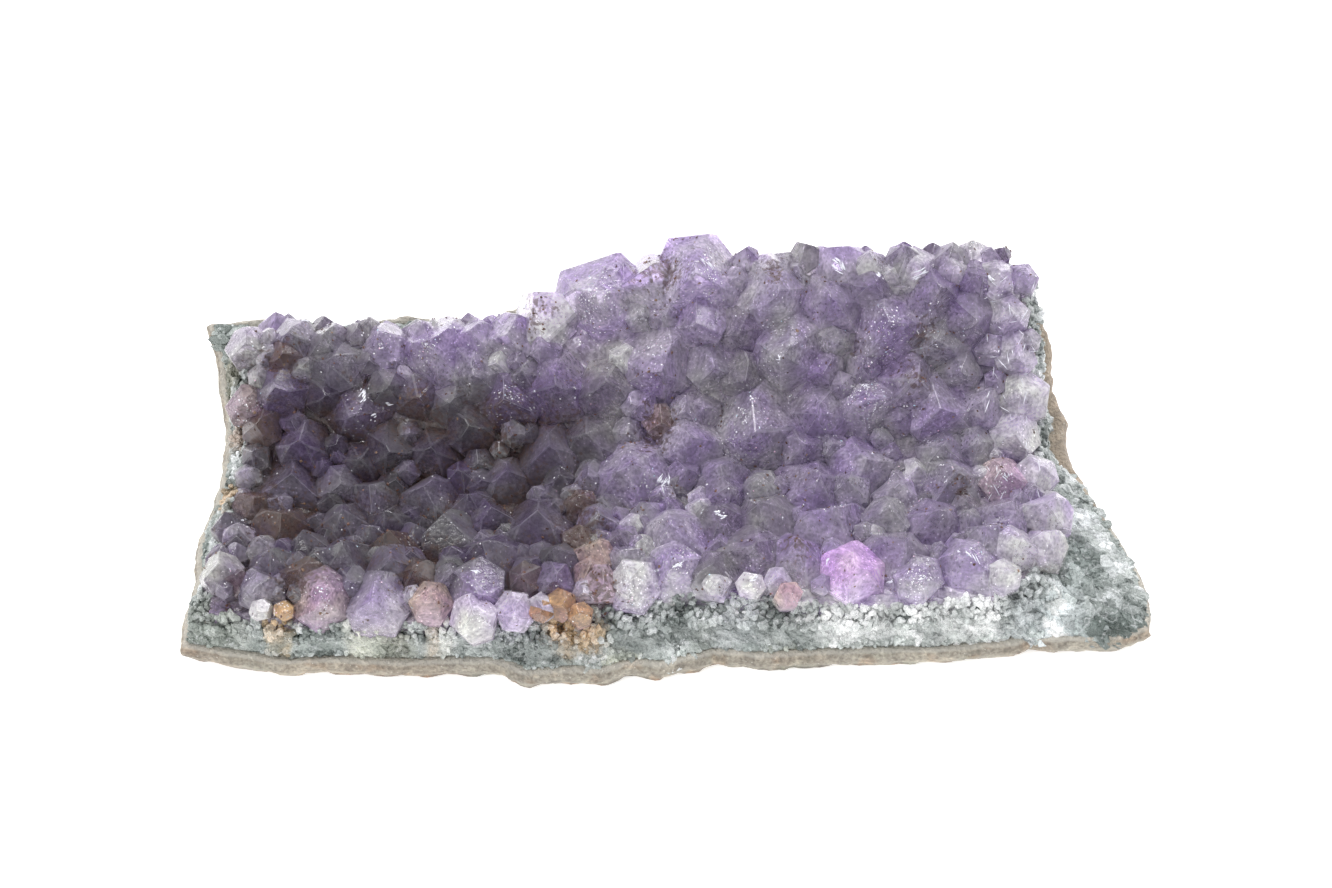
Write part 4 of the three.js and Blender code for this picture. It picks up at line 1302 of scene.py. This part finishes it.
def rind_material(clouds, flecks):
    made, tree, shader = material("tan_agate")
    mottle = place_group(tree, clouds, Size=1.6, Contrast=3.2, Detail=6.0)
    fine = place_group(tree, clouds, Size=0.4, Contrast=2.8, Detail=6.0)
    pale = place_group(tree, flecks, Size=0.32, Amount=0.16, Patch_Size=2.6, Patch_Edge=0.5)
    layer = noted(tree, "layer")
    rim_line = share_of(tree, window(tree, layer, 0.02, 0.16), window(tree, layer, 0.42, 0.2))
    colour = layered(tree, [
        (mottle, (0.74, 0.72, 0.70), (1.28, 1.28, 1.26)),
        (fine, (0.66, 0.64, 0.62), (1.3, 1.3, 1.28)),
    ], [
        (window(tree, layer, 0.80, 0.95), 0.5, (0.60, 0.58, 0.53)),
        (rim_line, 0.35, (0.62, 0.58, 0.49)),
        (pale, 0.5, (0.78, 0.75, 0.68)),
    ])
    feed_shader(tree, shader, colour, fine, 0.3, 0.36)
    roughen(tree, shader, fine, 0.16)
    return made


def dress(piece, node, finish):
    piece.data.materials.clear()
    piece.data.materials.append(finish)
    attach(piece, "root")
    if node:
        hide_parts(node)
    return piece


# Camera, as the photograph was taken: 50 degrees above the horizon, in front of the piece.
CAMERA_LENS = 85.0
CAMERA_ELEVATION = math.radians(50)
CAMERA_DISTANCE = 357.0
CAMERA_TARGET = np.array([0.0, 0.0, 8.0])
FLOOR_GLOW = 0.6
ROOM_LIGHT = 0.8


def build_camera():
    data = bpy.data.cameras.new("camera")
    data.lens = CAMERA_LENS
    data.sensor_width = 36.0
    data.clip_start, data.clip_end = 0.01, 10.0
    camera = bpy.data.objects.new("camera", data)
    forward = Vector((0.0, math.cos(CAMERA_ELEVATION), -math.sin(CAMERA_ELEVATION)))
    camera.location = Vector(to_frame(CAMERA_TARGET)) - forward * CAMERA_DISTANCE * MM
    camera.rotation_euler = forward.to_track_quat("-Z", "Y").to_euler()
    bpy.context.scene.collection.objects.link(camera)
    bpy.context.scene.camera = camera


def build_stage():
    floor = mesh_object("floor", [(-3, -3, 0), (3, -3, 0), (3, 3, 0), (-3, 3, 0)], [(0, 1, 2, 3)])
    made, _, shader = material("pale_floor")
    shader.inputs["Base Color"].default_value = (0.9, 0.9, 0.9, 1)
    shader.inputs["Roughness"].default_value = 0.7
    shader.inputs["Emission Color"].default_value = (1, 1, 1, 1)
    shader.inputs["Emission Strength"].default_value = FLOOR_GLOW
    floor.data.materials.append(made)
    world = bpy.data.worlds.new("studio")
    world.use_nodes = True
    background = world.node_tree.nodes["Background"]
    background.inputs["Color"].default_value = (1, 1, 1, 1)
    background.inputs["Strength"].default_value = ROOM_LIGHT
    bpy.context.scene.world = world


# Soft lights: place and size in metres, and power in watts.
LIGHTS = {
    "overhead": ((-0.1, 0.25, 0.6), 0.35, 2.5),
    "back_right": ((0.45, 0.4, 0.35), 0.25, 1.6),
    "front_left": ((-0.4, -0.35, 0.45), 0.16, 1.1),
}


def build_lights():
    for name, (place, size, power) in LIGHTS.items():
        data = bpy.data.lights.new(name, "AREA")
        data.size, data.energy = size, power
        light = bpy.data.objects.new(name, data)
        light.location = place
        light.rotation_euler = (-Vector(place)).to_track_quat("-Z", "Y").to_euler()
        bpy.context.scene.collection.objects.link(light)


bpy.context.scene.view_settings.view_transform = "Standard"
build_camera()
build_stage()
build_lights()

clouds, flecks, cracks = clouds_group(), flecks_group(), healed_cracks_group()
quartz = quartz_material(clouds, flecks, cracks)
dress(build_rind(), "agate_rind", rind_material(clouds, flecks))
layer = dress(build_quartz(), "granular_quartz", quartz)
for grains in build_grains(layer):
    dress(grains, None, quartz)
crust = dress(build_crust(), "amethyst_crystals", amethyst_material(clouds, flecks, cracks))
# Glitter flakes, partly painted glints.
dress(build_glitter(crust), None, flake_material("veil_glitter", clouds, 0.05, 0.9))
dress(build_iron_specks(crust), None, flake_material("iron_oxide", clouds, 0.4, 0.4))
# Painted flashes of light off broken faces.
dress(build_flashes(crust), None, flake_material("painted_flash", clouds, 0.12, 0.6))
